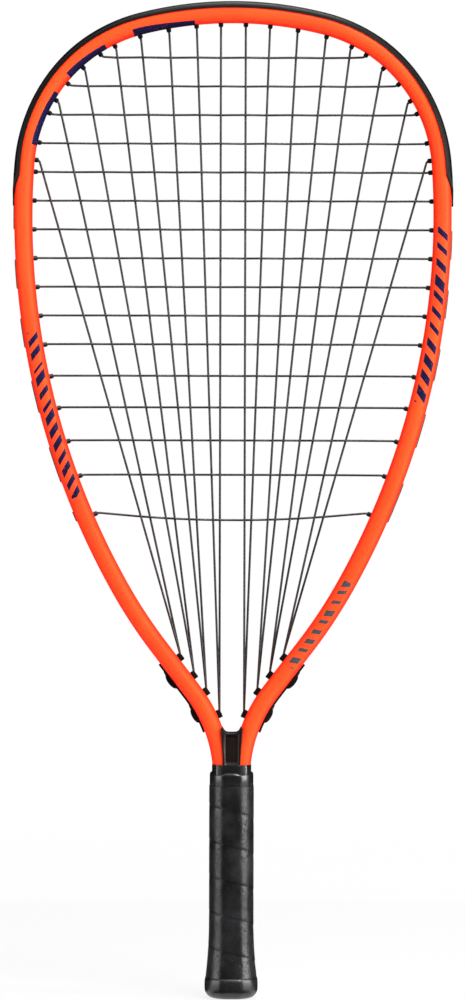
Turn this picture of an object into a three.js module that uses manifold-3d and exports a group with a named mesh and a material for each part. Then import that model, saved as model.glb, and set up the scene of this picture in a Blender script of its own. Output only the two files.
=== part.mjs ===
// Racquetball racket: a hairpin frame tube strung with one main string and one cross string,
// protected by a head guard and grommet strips, and closed by a wrapped handle.
// Millimetres. X runs across the face, Y through it (the front faces -Y), Z from butt to head.
// Heights are counted from the butt, and the last lines move the origin to the middle of the grip.
import * as THREE from 'three';
import { mergeVertices } from 'three/addons/utils/BufferGeometryUtils.js';
import Module from 'manifold-3d';

const wasm = await Module();
wasm.setup();

// Clearances and cutting allowances
const FIT_GAP = 0.3; // between two pieces that seat on each other
const OVERRUN = 2; // how far a cutter reaches past the face it cuts
const FACET_ERROR = 0.25; // largest distance from a facet of the frame to its true arc

// Centreline of the frame: tangent arcs from the crown down to the handle
const CROWN_RADIUS = 212;
const CROWN_SWEEP = THREE.MathUtils.degToRad(14);
const SHOULDER_RADIUS = 86.5;
const SHOULDER_SWEEP = THREE.MathUtils.degToRad(72);
const SIDE_RADIUS = 425;
const SIDE_SWEEP = THREE.MathUtils.degToRad(33.5);
const LOWER_RADIUS = 277;
const LOWER_SWEEP = THREE.MathUtils.degToRad(8);
const THROAT_RADIUS = 79;
const THROAT_FOOT_HEIGHT = 123.5; // where the two shafts have come parallel
const SHAFT_FOOT_HEIGHT = 10;
const SHAFT_GAP = 0.8; // between the shafts inside the handle

// Frame tube
const TUBE_WIDTH = 10; // seen from the front
const TUBE_DEPTH = 20; // front face to back face
const TUBE_WALL = 1.2;
const GROOVE_WIDTH = 7;
const GROOVE_DEPTH = 1.4;

// String
const STRING_DIAMETER = 1.25;
const STRING_SIDES = 5;
const STRING_TAIL_LENGTH = 6; // laid along the tube past each end's last hole

// Grommet barrels, one round each string where it passes through the tube
const BARREL_ROOM = 0.325; // between the string and the barrel's bore
const BARREL_WALL = 0.35;
const BARREL_TIP_LENGTH = 2; // past the tube's inner face
const BARREL_SIDES = 6;
const STRIP_THICKNESS = 0.8;

// Crosses, counted from the crown down
const FIRST_CROSS_DISTANCE = 19.7; // from the crown's inner face
const CROSS_PITCH = 16.1;
const CROSS_PLACE_SHARES = [0, 1, 2, 3, 4, 5, 6, 7, 8, 9, 10, 11.1, 12.2, 13.35, 14.55, 15.87];
const LAST_CROSS_SAG = 4.2;
const GUARD_CROSSES = 6; // crosses whose grommets belong to the head guard
const CROSSING_STEPS = 4; // passes that settle where a slanted main meets a sagging cross

// Mains of one side, counted from the middle out, as shares of the crown and shoulder's length
const MAIN_PLACE_SHARES = [0.045, 0.133, 0.234, 0.34, 0.442, 0.587, 0.747, 0.985];
// Order in which one side's mains are strung: neighbours share a loop over the crown, and the
// string passes from one port to the next below
const STRINGING_ORDER = [0, 2, 1, 3, 4, 6, 5, 7];

// Head guard
const GUARD_RIDGE_HEIGHT = 1.5; // above the tube's outer face
const GUARD_SKIN = 1; // thickness of its flanks over the tube's shoulders
const GUARD_END_MARGIN = 3; // past the last grommet that it carries
const GUARD_TAPER_LENGTH = 14;
const GUARD_END_HEIGHT = 0.8;

// Side grommet strips
const SIDE_STRIP_END_MARGIN = 4;

// Throat ports: square sleeves that take two mains each, lowest first
const LOWEST_PORT_DISTANCE = 34.2; // along the tube from the throat's foot
const PORT_PITCH = 12.5;
const PORT_PLACE_SHARES = [0, 1.08, 1.98, 2.99];
const PORT_LENGTH = 4.5; // along the tube
const PORT_DEPTH = 6.2; // front to back
const PORT_WALL = 0.9;
const PORT_TIP_LENGTH = 3.4; // past the tube's inner face

// Throat strips with a saddle lobe between each pair of ports
const THROAT_STRIP_HEIGHT = 0.5; // above the tube's outer face
const THROAT_STRIP_LOWER_MARGIN = 6.2;
const THROAT_STRIP_UPPER_MARGIN = 3.9;
const LOBE_LENGTH = 10.4;
const LOBE_HEIGHT = 3.4; // above the tube's outer face
const LOBE_LIP = 0.6; // height of the lobe's cheeks above the string between them
const LOBE_STEPS = 6;

// Throat yoke, in the crotch of the two shafts
const YOKE_TONGUE_LENGTH = 5.5; // below the throat's foot
const YOKE_SADDLE_DISTANCE = 25.2; // above the throat's foot
const YOKE_HORN_HEIGHT = 3.1;
const YOKE_HORN_WIDTH = 2.2;
const YOKE_HORN_LAP = 0.9; // over the tubes at the horn tips
const YOKE_FOOT_LAP = 4.4; // over the tubes at the handle
const YOKE_COVER = 1; // thickness of its faces over the tubes
const YOKE_PANEL_RECESS = 0.5;
const YOKE_PANEL_MARGIN = 1.4;

// Handle
const WRAP_THICKNESS = 1.5;
const WRAP_FOOT_HEIGHT = 11.8;
const SHELL_ROOM = 3; // from the shafts' faces to the wrap, front and back
const FLARE_TOP_HEIGHT = 42;
const BUTT_FLARE = 1.9;
const GRIP_REACH = 3.9; // above the throat's foot
const BAND_LENGTH = 8.4;
const BAND_STEP = 0.25; // the band is this much thinner than the wrap
const SEAM_PITCH = 19.9; // of the wound strip
const SEAM_WIDTH = 1.6;
const SEAM_DEPTH = 0.5;
const FIRST_SEAM_DISTANCE = 21.4; // from the grip's top to the seam on the front
const COLLAR_HEIGHT = 3.7;
const COLLAR_WALL = 0.7;
const COLLAR_ROOM = 1.2; // front and back, round the yoke's faces
const PLUG_LENGTH = 14;

// Butt cap
const CAP_FLOOR = 3;
const CAP_SKIRT_TOP_HEIGHT = 22;
const CAP_BELLY_HEIGHT = 8;
const CAP_BELLY_FLARE = 2.4;
const CAP_FOOT_ROUNDING = 2.6;
const TETHER_SLOT_WIDTH = 5;
const TETHER_SLOT_DEPTH = 9;
const TETHER_BAR_WIDTH = 3;

// Outlines as shares of a half width and a half depth, first quarter only
const TUBE_OUTLINE_SHARES = [[1, 0.45], [0.86, 0.72], [0.4, 1]];
const CAVITY_OUTLINE_SHARES = [[1, 0.5], [0.5, 1]];
const HANDLE_OUTLINE_SHARES = [[1, 0.42], [0.8, 0.74], [0.38, 1]];
const COLLAR_OUTLINE_SHARES = [[1, 0.55], [0.78, 0.86], [0.4, 1]];
// Steps of the handle's flare, as shares of its height
const FLARE_STEP_SHARES = [0, 0.2, 0.4, 0.65, 1];
// Height and inset of the cap's rounded foot, as shares of the rounding
const CAP_ROUNDING_SHARES = [[0, 1], [0.25, 0.5], [1, 0.07]];

// Values worked out from the sizes above
const tubeHalfWidth = TUBE_WIDTH / 2;
const tubeHalfDepth = TUBE_DEPTH / 2;
const shaftOffset = tubeHalfWidth + SHAFT_GAP / 2; // from the handle's axis to each shaft's axis
const stringRadius = STRING_DIAMETER / 2;
const boreRadius = stringRadius + BARREL_ROOM;
const barrelRadius = boreRadius + BARREL_WALL;
const barrelTip = -tubeHalfWidth - BARREL_TIP_LENGTH;
const grooveFloor = tubeHalfWidth - GROOVE_DEPTH;
const stripUnderside = grooveFloor + FIT_GAP;
const stripTop = stripUnderside + STRIP_THICKNESS;
const stripHalfWidth = GROOVE_WIDTH / 2 - FIT_GAP;
const stringSeat = stripTop + FIT_GAP + stringRadius; // axis of a string that lies on a strip
const stringExit = FIT_GAP + stringRadius; // from a barrel's tip to the string's first bend
const cornerCut = stringRadius; // how far before a corner the string starts to bend
const weaveRise = stringRadius + FIT_GAP / 2; // each string's distance from the face's middle plane
const loopOffset = STRING_DIAMETER + FIT_GAP; // loops in the guard run this far beside the holes
const portTip = -tubeHalfWidth - PORT_TIP_LENGTH;
const portBoreLength = PORT_LENGTH - 2 * PORT_WALL;
const portBoreDepth = PORT_DEPTH - 2 * PORT_WALL;
const throatStripCrest = tubeHalfWidth + THROAT_STRIP_HEIGHT;
const lobeFloor = tubeHalfWidth + LOBE_HEIGHT - LOBE_LIP - STRING_DIAMETER - FIT_GAP;
const lobeChannelWidth = 2 * (weaveRise + stringRadius + FIT_GAP);
const gripTop = THROAT_FOOT_HEIGHT + GRIP_REACH;
const bandFoot = gripTop - BAND_LENGTH;
const gripHalfWidth = shaftOffset + tubeHalfWidth + 2 * FIT_GAP + WRAP_THICKNESS;
const gripHalfDepth = tubeHalfDepth + SHELL_ROOM + WRAP_THICKNESS;
const collarTop = gripTop + COLLAR_HEIGHT;
const yokeFoot = THROAT_FOOT_HEIGHT - YOKE_TONGUE_LENGTH;
const yokeSaddle = THROAT_FOOT_HEIGHT + YOKE_SADDLE_DISTANCE;
const yokeDepth = TUBE_DEPTH + 2 * (FIT_GAP + YOKE_COVER);

// Manifold helpers
function toManifold(geometry) {
  const bare = geometry.index ? geometry.clone() : geometry;
  for (const name of Object.keys(bare.attributes)) {
    if (name !== 'position') bare.deleteAttribute(name);
  }
  const merged = mergeVertices(bare);
  const mesh = new wasm.Mesh({
    numProp: 3,
    vertProperties: new Float32Array(merged.attributes.position.array),
    triVerts: new Uint32Array(merged.index.array),
  });
  return new wasm.Manifold(mesh);
}

function toGeometry(manifold) {
  const mesh = manifold.getMesh();
  const geometry = new THREE.BufferGeometry();
  geometry.setAttribute('position', new THREE.BufferAttribute(mesh.vertProperties, 3));
  geometry.setIndex(new THREE.BufferAttribute(mesh.triVerts, 1));
  geometry.computeVertexNormals();
  return geometry;
}

function subtractAll(body, cutters) {
  return cutters.reduce((rest, cutter) => rest.subtract(cutter), body);
}

function addAll(first, others) {
  return others.reduce((sum, other) => sum.add(other), first);
}

// A closed skin over rings of equal point count, with a cap on the first and the last ring.
// capOutline is the ring's shape in the plane, which tells the caps how to fill it.
function loft(rings, capOutline) {
  const count = rings[0].length;
  const positions = rings.flat().flatMap((point) => [point.x, point.y, point.z]);
  const faces = [];
  for (let ring = 0; ring + 1 < rings.length; ring += 1) {
    for (let k = 0; k < count; k += 1) {
      const next = (k + 1) % count;
      const low = ring * count;
      const high = low + count;
      faces.push([low + k, low + next, high + next], [low + k, high + next, high + k]);
    }
  }
  const last = (rings.length - 1) * count;
  for (const [a, b, c] of THREE.ShapeUtils.triangulateShape(capOutline, [])) {
    faces.push([a, c, b], [last + a, last + b, last + c]);
  }
  const geometry = new THREE.BufferGeometry();
  geometry.setAttribute('position', new THREE.Float32BufferAttribute(positions, 3));
  const outward = signedVolume(positions, faces) > 0;
  geometry.setIndex(faces.flatMap(([a, b, c]) => (outward ? [a, b, c] : [a, c, b])));
  return geometry;
}

function signedVolume(positions, faces) {
  const corner = (index) => new THREE.Vector3().fromArray(positions, index * 3);
  return faces.reduce((sum, [a, b, c]) => sum + corner(a).dot(corner(b).cross(corner(c))), 0);
}

// The whole outline from the shares of its first quarter
function mirrorOutline(quarterShares, halfWidth, halfDepth, shift = 0) {
  const back = [...quarterShares].reverse();
  const shares = [
    ...quarterShares,
    ...back.map(([x, y]) => [-x, y]),
    ...quarterShares.map(([x, y]) => [-x, -y]),
    ...back.map(([x, y]) => [x, -y]),
  ];
  return shares.map(([x, y]) => new THREE.Vector2(shift + x * halfWidth, y * halfDepth));
}

// Centreline of the frame's right half. A leg keeps how far along the frame it starts, its first
// point, its heading (clockwise from +X), its length and the angle that it turns through.
function layCentreline() {
  const laid = [];
  const end = { start: 0, x: 0, z: 0, heading: 0 };
  const addLeg = (name, length, turn) => {
    const leg = { ...end, name, length, turn };
    laid.push(leg);
    Object.assign(end, pointOnLeg(leg, length), { start: leg.start + length });
  };
  addLeg('crown', CROWN_RADIUS * CROWN_SWEEP, CROWN_SWEEP);
  addLeg('shoulder', SHOULDER_RADIUS * SHOULDER_SWEEP, SHOULDER_SWEEP);
  addLeg('side', SIDE_RADIUS * SIDE_SWEEP, SIDE_SWEEP);
  addLeg('lower', LOWER_RADIUS * LOWER_SWEEP, LOWER_SWEEP);
  // The straight run takes up what is left between the head and the handle
  const throatSweep = end.heading - Math.PI / 2;
  const throatReach = THROAT_RADIUS * (1 - Math.sin(end.heading));
  addLeg('straight', (end.x - throatReach - shaftOffset) / -Math.cos(end.heading), 0);
  addLeg('throat', THROAT_RADIUS * throatSweep, -throatSweep);
  const lift = THROAT_FOOT_HEIGHT - end.z;
  addLeg('shaft', THROAT_FOOT_HEIGHT - SHAFT_FOOT_HEIGHT, 0);
  for (const leg of laid) leg.z += lift;
  return laid;
}

function pointOnLeg(leg, distance) {
  const heading = leg.heading + (leg.turn * distance) / leg.length;
  if (leg.turn === 0) {
    const x = leg.x + distance * Math.cos(heading);
    const z = leg.z - distance * Math.sin(heading);
    return { x, z, heading };
  }
  const radius = leg.length / leg.turn;
  const x = leg.x + radius * (Math.sin(heading) - Math.sin(leg.heading));
  const z = leg.z + radius * (Math.cos(heading) - Math.cos(leg.heading));
  return { x, z, heading };
}

const legs = layCentreline();
const legNamed = (name) => legs.find((leg) => leg.name === name);
const shoulderEnd = legNamed('side').start;
const throatFoot = legNamed('shaft').start;
const shaftFoot = throatFoot + legNamed('shaft').length;

// A point of the frame: run is the length along the centreline from the crown, negative on the
// left, out is the distance towards the outside of the hoop, and depth is the distance along Y.
function framePoint(run, out = 0, depth = 0) {
  const side = run < 0 ? -1 : 1;
  const distance = Math.abs(run);
  const leg = legs.findLast(({ start }) => start <= distance);
  const { x, z, heading } = pointOnLeg(leg, distance - leg.start);
  return new THREE.Vector3(
    side * (x + out * Math.sin(heading)),
    depth,
    z + out * Math.cos(heading),
  );
}

function outwardAt(run) {
  return framePoint(run, 1).sub(framePoint(run));
}

// Stations close enough together that each facet keeps to its arc
function layStations() {
  const right = [];
  for (const leg of legs) {
    const radius = leg.turn === 0 ? Infinity : Math.abs(leg.length / leg.turn) + tubeHalfWidth;
    const step = 2 * Math.acos(1 - FACET_ERROR / radius);
    const steps = leg.turn === 0 ? 1 : Math.ceil(Math.abs(leg.turn) / step);
    for (let k = 0; k < steps; k += 1) right.push(leg.start + (leg.length * k) / steps);
  }
  right.push(shaftFoot);
  return [...right.slice(1).reverse().map((run) => -run), ...right];
}

const stations = layStations();

function stationsBetween(from, to) {
  return [from, ...stations.filter((run) => run > from && run < to), to];
}

// A section of constant or changing outline, swept along the frame between two runs
function sweepAlongFrame(one, other, outlineAt) {
  const [from, to] = [one, other].sort((a, b) => a - b);
  const rings = stationsBetween(from, to).map((run) => (
    outlineAt(run).map(({ x, y }) => framePoint(run, x, y))
  ));
  return toManifold(loft(rings, outlineAt(from)));
}

function rectangle(low, high, halfWidth) {
  return [[low, -halfWidth], [high, -halfWidth], [high, halfWidth], [low, halfWidth]]
    .map(([x, y]) => new THREE.Vector2(x, y));
}

// A straight peg or cutter square to the tube, between two distances from its centreline
function pegThrough(run, low, high, geometry) {
  const peg = geometry.clone();
  const outward = outwardAt(run);
  const along = new THREE.Vector3().crossVectors(new THREE.Vector3(0, 1, 0), outward);
  const turn = new THREE.Matrix4().makeBasis(along, outward, new THREE.Vector3(0, 1, 0).negate());
  peg.scale(1, high - low, 1);
  peg.applyMatrix4(turn.setPosition(framePoint(run, (low + high) / 2)));
  return toManifold(peg);
}

function roundPeg(run, low, high, radius) {
  return pegThrough(run, low, high, new THREE.CylinderGeometry(radius, radius, 1, BARREL_SIDES));
}

function squarePeg(run, low, high, length, depth) {
  return pegThrough(run, low, high, new THREE.BoxGeometry(length, 1, depth));
}

// The run at which the frame, a distance out from its centreline, has come down to a height
function runAtHeight(height, out) {
  let low = 0;
  let high = throatFoot;
  while (high - low > FACET_ERROR * FACET_ERROR) {
    const middle = (low + high) / 2;
    if (framePoint(middle, out).z > height) low = middle;
    else high = middle;
  }
  return low;
}

// Where the strings pass through the tube, as runs on the right side
const bothSides = (runs) => [...runs.map((run) => -run), ...runs];
const crossLevels = CROSS_PLACE_SHARES.map((share) => (
  framePoint(0, -tubeHalfWidth).z - FIRST_CROSS_DISTANCE - share * CROSS_PITCH
));
const crossRuns = crossLevels.map((level) => runAtHeight(level, barrelTip - stringExit));
const mainRuns = MAIN_PLACE_SHARES.map((share) => share * shoulderEnd);
const portRuns = PORT_PLACE_SHARES.map((share) => (
  throatFoot - LOWEST_PORT_DISTANCE - share * PORT_PITCH
));
const guardRuns = [...mainRuns, ...crossRuns.slice(0, GUARD_CROSSES)];
const sideRuns = crossRuns.slice(GUARD_CROSSES);
const guardEnd = guardRuns.at(-1) + GUARD_END_MARGIN;
const sideStripEnd = sideRuns.at(-1) + SIDE_STRIP_END_MARGIN;
const throatStripTop = portRuns.at(-1) - THROAT_STRIP_UPPER_MARGIN;
const throatStripFoot = portRuns[0] + THROAT_STRIP_LOWER_MARGIN;
// A lobe stands half way between the two ports of each pair
const lobeMiddles = portRuns.flatMap((run, index) => (
  index % 2 === 0 ? [(run + portRuns[index + 1]) / 2] : []
));

function tubeOutline(clearance) {
  return mirrorOutline(TUBE_OUTLINE_SHARES, tubeHalfWidth + clearance, tubeHalfDepth + clearance);
}

// The hollow of the tube, or what fills it with a clearance all round
function cavityOutline(clearance) {
  const inner = -tubeHalfWidth + TUBE_WALL;
  const outer = grooveFloor - TUBE_WALL;
  return mirrorOutline(
    CAVITY_OUTLINE_SHARES,
    (outer - inner) / 2 - clearance,
    tubeHalfDepth - TUBE_WALL - clearance,
    (outer + inner) / 2,
  );
}

function makeFrameTube() {
  const body = sweepAlongFrame(-shaftFoot, shaftFoot, () => tubeOutline(0));
  const cavityEnd = shaftFoot + OVERRUN;
  const cavity = sweepAlongFrame(-cavityEnd, cavityEnd, () => cavityOutline(0));
  const reach = tubeHalfWidth + OVERRUN;
  const grooveEnd = throatStripFoot + FIT_GAP;
  const grooveOutline = rectangle(grooveFloor, reach, GROOVE_WIDTH / 2);
  const groove = sweepAlongFrame(-grooveEnd, grooveEnd, () => grooveOutline);
  const holes = bothSides([...mainRuns, ...crossRuns])
    .map((run) => roundPeg(run, -reach, reach, barrelRadius + FIT_GAP));
  const portHoleLength = PORT_LENGTH + 2 * FIT_GAP;
  const portHoleDepth = PORT_DEPTH + 2 * FIT_GAP;
  const ports = bothSides(portRuns)
    .map((run) => squarePeg(run, -reach, reach, portHoleLength, portHoleDepth));
  return toGeometry(subtractAll(body, [cavity, groove, ...holes, ...ports]));
}

// Barrels that stand on the strip's underside, and their bores
function addBarrels(strip, runs) {
  const root = (stripUnderside + stripTop) / 2;
  const barrels = runs.map((run) => roundPeg(run, barrelTip, root, barrelRadius));
  const bores = runs.map((run) => (
    roundPeg(run, barrelTip - OVERRUN, stripTop + OVERRUN, boreRadius)
  ));
  return subtractAll(addAll(strip, barrels), bores);
}

// Two ridges stand beside a channel in which the string loops lie, and both taper at the ends
function guardOutline(run) {
  const taper = Math.min(1, (guardEnd - Math.abs(run)) / GUARD_TAPER_LENGTH);
  const rise = GUARD_END_HEIGHT + (GUARD_RIDGE_HEIGHT - GUARD_END_HEIGHT) * taper;
  const crestOut = tubeHalfWidth + rise;
  const channel = loopOffset + stringRadius + FIT_GAP;
  const ridgeInner = (channel + stripHalfWidth) / 2;
  const seat = tubeHalfWidth + FIT_GAP;
  const [side, shoulder, crest] = tubeOutline(0).map(({ x, y }) => ({ out: x, depth: y }));
  // The flanks end half way down the tube's shoulders
  const lip = { out: (shoulder.out + crest.out) / 2, depth: (shoulder.depth + crest.depth) / 2 };
  const half = [
    [stripTop, channel],
    [crestOut, ridgeInner],
    [crestOut, side.depth],
    [shoulder.out + GUARD_SKIN, shoulder.depth + GUARD_SKIN],
    [lip.out + FIT_GAP, lip.depth + GUARD_SKIN],
    [lip.out + FIT_GAP, lip.depth + FIT_GAP],
    [shoulder.out + FIT_GAP, shoulder.depth + FIT_GAP],
    [seat, side.depth],
    [seat, stripHalfWidth],
    [stripUnderside, stripHalfWidth],
  ];
  const mirrored = [...half].reverse().map(([x, y]) => [x, -y]);
  return [...half, ...mirrored].map(([x, y]) => new THREE.Vector2(x, y));
}

function makeHeadGuard() {
  const pad = sweepAlongFrame(-guardEnd, guardEnd, guardOutline);
  return toGeometry(addBarrels(pad, bothSides(guardRuns)));
}

function makeSideStrip(side) {
  const outline = rectangle(stripUnderside, stripTop, stripHalfWidth);
  const start = side * (guardEnd + FIT_GAP);
  const strip = sweepAlongFrame(start, side * sideStripEnd, () => outline);
  return toGeometry(addBarrels(strip, sideRuns.map((run) => side * run)));
}

// The swell of a saddle lobe at a distance along the tube from its middle
function lobeOutline(offset) {
  const share = (2 * offset) / LOBE_LENGTH;
  const swell = (LOBE_HEIGHT - THROAT_STRIP_HEIGHT) * Math.sqrt(Math.max(0, 1 - share * share));
  return rectangle(stripUnderside + FIT_GAP, throatStripCrest + swell, stripHalfWidth);
}

function makeLobe(middle, side) {
  const offsets = Array.from({ length: LOBE_STEPS + 1 }, (_, k) => (
    (LOBE_LENGTH * k) / LOBE_STEPS - LOBE_LENGTH / 2
  ));
  const rings = offsets.map((offset) => (
    lobeOutline(offset).map(({ x, y }) => framePoint(side * (middle + offset), x, y))
  ));
  return toManifold(loft(rings, lobeOutline(0)));
}

// A strip with a saddle lobe between two ports: the string passes from one port to the next in
// a channel between the lobe's cheeks
function makeThroatStrip(side) {
  const outline = rectangle(stripUnderside, throatStripCrest, stripHalfWidth);
  const strip = sweepAlongFrame(side * throatStripTop, side * throatStripFoot, () => outline);
  const lobes = lobeMiddles.map((middle) => makeLobe(middle, side));
  const channelTop = lobeFloor + LOBE_HEIGHT;
  const channelLength = LOBE_LENGTH + OVERRUN;
  const channels = lobeMiddles.map((middle) => (
    squarePeg(side * middle, lobeFloor, channelTop, channelLength, lobeChannelWidth)
  ));
  const windowFoot = stripUnderside - OVERRUN;
  const windowTop = throatStripCrest + OVERRUN;
  const windows = portRuns.map((run) => (
    squarePeg(side * run, windowFoot, windowTop, portBoreLength, portBoreDepth)
  ));
  return toGeometry(subtractAll(addAll(strip, lobes), [...channels, ...windows]));
}

function makePortSleeve(run) {
  const sleeve = squarePeg(run, portTip, grooveFloor, PORT_LENGTH, PORT_DEPTH);
  const cutTop = grooveFloor + OVERRUN;
  const bore = squarePeg(run, portTip - OVERRUN, cutTop, portBoreLength, portBoreDepth);
  return toGeometry(sleeve.subtract(bore));
}

// A solid of constant outline in the XZ plane, centred on the face's middle plane
function plateAcross(corners, depth) {
  const shape = new THREE.Shape(corners.map(([x, z]) => new THREE.Vector2(x, z)));
  const geometry = new THREE.ExtrudeGeometry(shape, { depth, bevelEnabled: false, steps: 1 });
  geometry.translate(0, 0, -depth / 2);
  geometry.rotateX(Math.PI / 2);
  return toManifold(geometry);
}

function mirrorCorners(rightCorners) {
  const left = [...rightCorners].reverse().map(([x, z]) => [-x, z]);
  return [...rightCorners, ...left];
}

function makeThroatYoke() {
  const hornTop = yokeSaddle + YOKE_HORN_HEIGHT;
  const crotchHalf = framePoint(runAtHeight(hornTop, -tubeHalfWidth), -tubeHalfWidth).x;
  const topHalf = crotchHalf + YOKE_HORN_LAP;
  const footHalf = SHAFT_GAP / 2 + YOKE_FOOT_LAP;
  const body = plateAcross(mirrorCorners([
    [footHalf, yokeFoot],
    [footHalf, collarTop],
    [topHalf, hornTop],
    [topHalf - YOKE_HORN_WIDTH, yokeSaddle],
  ]), yokeDepth);
  const panelHalf = footHalf - YOKE_PANEL_MARGIN;
  const panelCorners = mirrorCorners([
    [panelHalf, collarTop + YOKE_PANEL_MARGIN],
    [panelHalf, yokeSaddle - YOKE_PANEL_MARGIN],
  ]);
  const panels = [-1, 1].map((face) => (
    plateAcross(panelCorners, 2 * YOKE_PANEL_RECESS).translate([0, (face * yokeDepth) / 2, 0])
  ));
  const tube = sweepAlongFrame(-shaftFoot, shaftFoot, () => tubeOutline(FIT_GAP));
  return toGeometry(subtractAll(body, [tube, ...panels]));
}

// A round cord of few sides along corner points, mitred at each corner
function cordAlong(points) {
  const spokes = Array.from({ length: STRING_SIDES }, (_, k) => {
    const angle = (2 * Math.PI * k) / STRING_SIDES;
    return new THREE.Vector2(Math.cos(angle), Math.sin(angle)).multiplyScalar(stringRadius);
  });
  let ahead = points[1].clone().sub(points[0]).normalize();
  const across = new THREE.Vector3().crossVectors(ahead, new THREE.Vector3(0, 1, 0)).normalize();
  const rings = points.map((point, index) => {
    const next = points[index + 1];
    const after = next ? next.clone().sub(point).normalize() : ahead;
    const mitre = ahead.clone().add(after).normalize();
    const up = new THREE.Vector3().crossVectors(ahead, across);
    const ring = spokes.map(({ x, y }) => {
      const spoke = across.clone().multiplyScalar(x).addScaledVector(up, y);
      spoke.addScaledVector(ahead, -spoke.dot(mitre) / ahead.dot(mitre));
      return spoke.add(point);
    });
    across.applyQuaternion(new THREE.Quaternion().setFromUnitVectors(ahead, after));
    ahead = after;
    return ring;
  });
  return loft(rings, spokes);
}

// Mains are numbered from left to right, crosses from top to bottom
const mainCount = 2 * mainRuns.length;

function mainIndexOf(side, fromMiddle) {
  return side < 0 ? mainRuns.length - 1 - fromMiddle : mainRuns.length + fromMiddle;
}

function mainLine(side, fromMiddle) {
  const topRun = side * mainRuns[fromMiddle];
  const portRun = side * portRuns[Math.floor(fromMiddle / 2)];
  const top = framePoint(topRun, barrelTip - stringExit);
  const foot = framePoint(portRun, portTip - stringExit);
  return { index: mainIndexOf(side, fromMiddle), topRun, portRun, top, foot };
}

const mains = Array.from({ length: mainCount }, (_, index) => {
  const side = index < mainRuns.length ? -1 : 1;
  const fromMiddle = side < 0 ? mainRuns.length - 1 - index : index - mainRuns.length;
  return mainLine(side, fromMiddle);
});

function crossLine(index) {
  const reach = framePoint(crossRuns[index], barrelTip - stringExit).x;
  const sag = index === crossLevels.length - 1 ? LAST_CROSS_SAG : 0;
  const heightAt = (x) => crossLevels[index] - sag * (1 - (x / reach) ** 2);
  return { index, reach, heightAt };
}

const crosses = crossLevels.map((_, index) => crossLine(index));

// The front or back side on which a main passes a cross
function weaveSide(mainIndex, crossIndex) {
  return (mainIndex + crossIndex) % 2 === 0 ? 1 : -1;
}

function crossingOf(main, cross) {
  const slope = (main.foot.x - main.top.x) / (main.foot.z - main.top.z);
  let height = cross.heightAt(0);
  let x = 0;
  for (let step = 0; step < CROSSING_STEPS; step += 1) {
    x = main.top.x + slope * (height - main.top.z);
    height = cross.heightAt(x);
  }
  const onMain = height < main.top.z - STRING_DIAMETER && height > main.foot.z + STRING_DIAMETER;
  const onCross = Math.abs(x) < cross.reach - FIT_GAP;
  return onMain && onCross ? { x, height, side: weaveSide(main.index, cross.index) } : null;
}

function mainCrossings(main) {
  return crosses.map((cross) => crossingOf(main, cross)).filter(Boolean)
    .map(({ x, height, side }) => new THREE.Vector3(x, side * weaveRise, height));
}

function crossCrossings(cross) {
  return mains.map((main) => crossingOf(main, cross)).filter(Boolean)
    .map(({ x, height, side }) => new THREE.Vector3(x, -side * weaveRise, height));
}

// The string's way out of a hole and round onto the strip, from the inside of the hoop
function bendOntoStrip(run, towards, depth = 0) {
  const turnedRun = run + Math.sign(towards - run) * cornerCut;
  return [
    framePoint(run, barrelTip - stringExit),
    framePoint(run, stringSeat - cornerCut),
    framePoint(turnedRun, stringSeat, (depth * cornerCut) / loopOffset),
  ];
}

// A loop on the outside of the tube from one hole to the next
function outsideLoop(from, to, depth) {
  const heading = Math.sign(to - from);
  const shift = 2 * loopOffset;
  const along = stationsBetween(Math.min(from, to), Math.max(from, to)).slice(1, -1)
    .filter((run) => Math.min(Math.abs(run - from), Math.abs(run - to)) > shift + cornerCut);
  if (heading < 0) along.reverse();
  const shifted = [from + heading * shift, ...along, to - heading * shift];
  const middle = depth === 0 ? along : shifted;
  return [
    ...bendOntoStrip(from, to, depth),
    ...middle.map((run) => framePoint(run, stringSeat, depth)),
    ...bendOntoStrip(to, from, depth).reverse(),
  ];
}

// A loop over a saddle lobe from one port to its neighbour
function lobeLoop(from, to, depth) {
  const middle = (from + to) / 2;
  const half = (to - from) / 2;
  const shoulder = half - Math.sign(half) * STRING_DIAMETER;
  const seat = lobeFloor + FIT_GAP + stringRadius;
  const shoulderSeat = seat - stringRadius / 2;
  const rim = throatStripCrest + stringRadius / 2;
  const inner = portTip - stringExit;
  return [
    framePoint(from, inner, depth),
    framePoint(from, rim, depth),
    framePoint(middle - shoulder, shoulderSeat, depth),
    framePoint(middle - shoulder / 2, seat, depth),
    framePoint(middle + shoulder / 2, seat, depth),
    framePoint(middle + shoulder, shoulderSeat, depth),
    framePoint(to, rim, depth),
    framePoint(to, inner, depth),
  ];
}

// A free end, laid along the strip past its last hole
function tail(run, heading) {
  const tip = run + heading * STRING_TAIL_LENGTH;
  return [...bendOntoStrip(run, tip), framePoint(tip, stringSeat)];
}

// One side's mains in their stringing order, from the middle of the crown to the outermost main
function mainHalfPoints(side) {
  const points = [];
  STRINGING_ORDER.forEach((fromMiddle, step) => {
    const main = mains[mainIndexOf(side, fromMiddle)];
    const crossings = mainCrossings(main);
    const down = step % 2 === 0;
    points.push(...(down ? crossings : crossings.reverse()));
    if (step === STRINGING_ORDER.length - 1) return;
    const nextMain = mains[mainIndexOf(side, STRINGING_ORDER[step + 1])];
    const depth = weaveSide(main.index, crosses.length - 1) * weaveRise;
    if (down) points.push(...lobeLoop(main.portRun, nextMain.portRun, depth));
    else points.push(...outsideLoop(main.topRun, nextMain.topRun, -loopOffset));
  });
  return points;
}

function makeMainString() {
  const lastRun = mainRuns.at(-1);
  return cordAlong([
    ...tail(-lastRun, 1).reverse(),
    ...mainHalfPoints(-1).reverse(),
    ...outsideLoop(-mainRuns[0], mainRuns[0], -loopOffset),
    ...mainHalfPoints(1),
    ...tail(lastRun, -1),
  ]);
}

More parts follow.
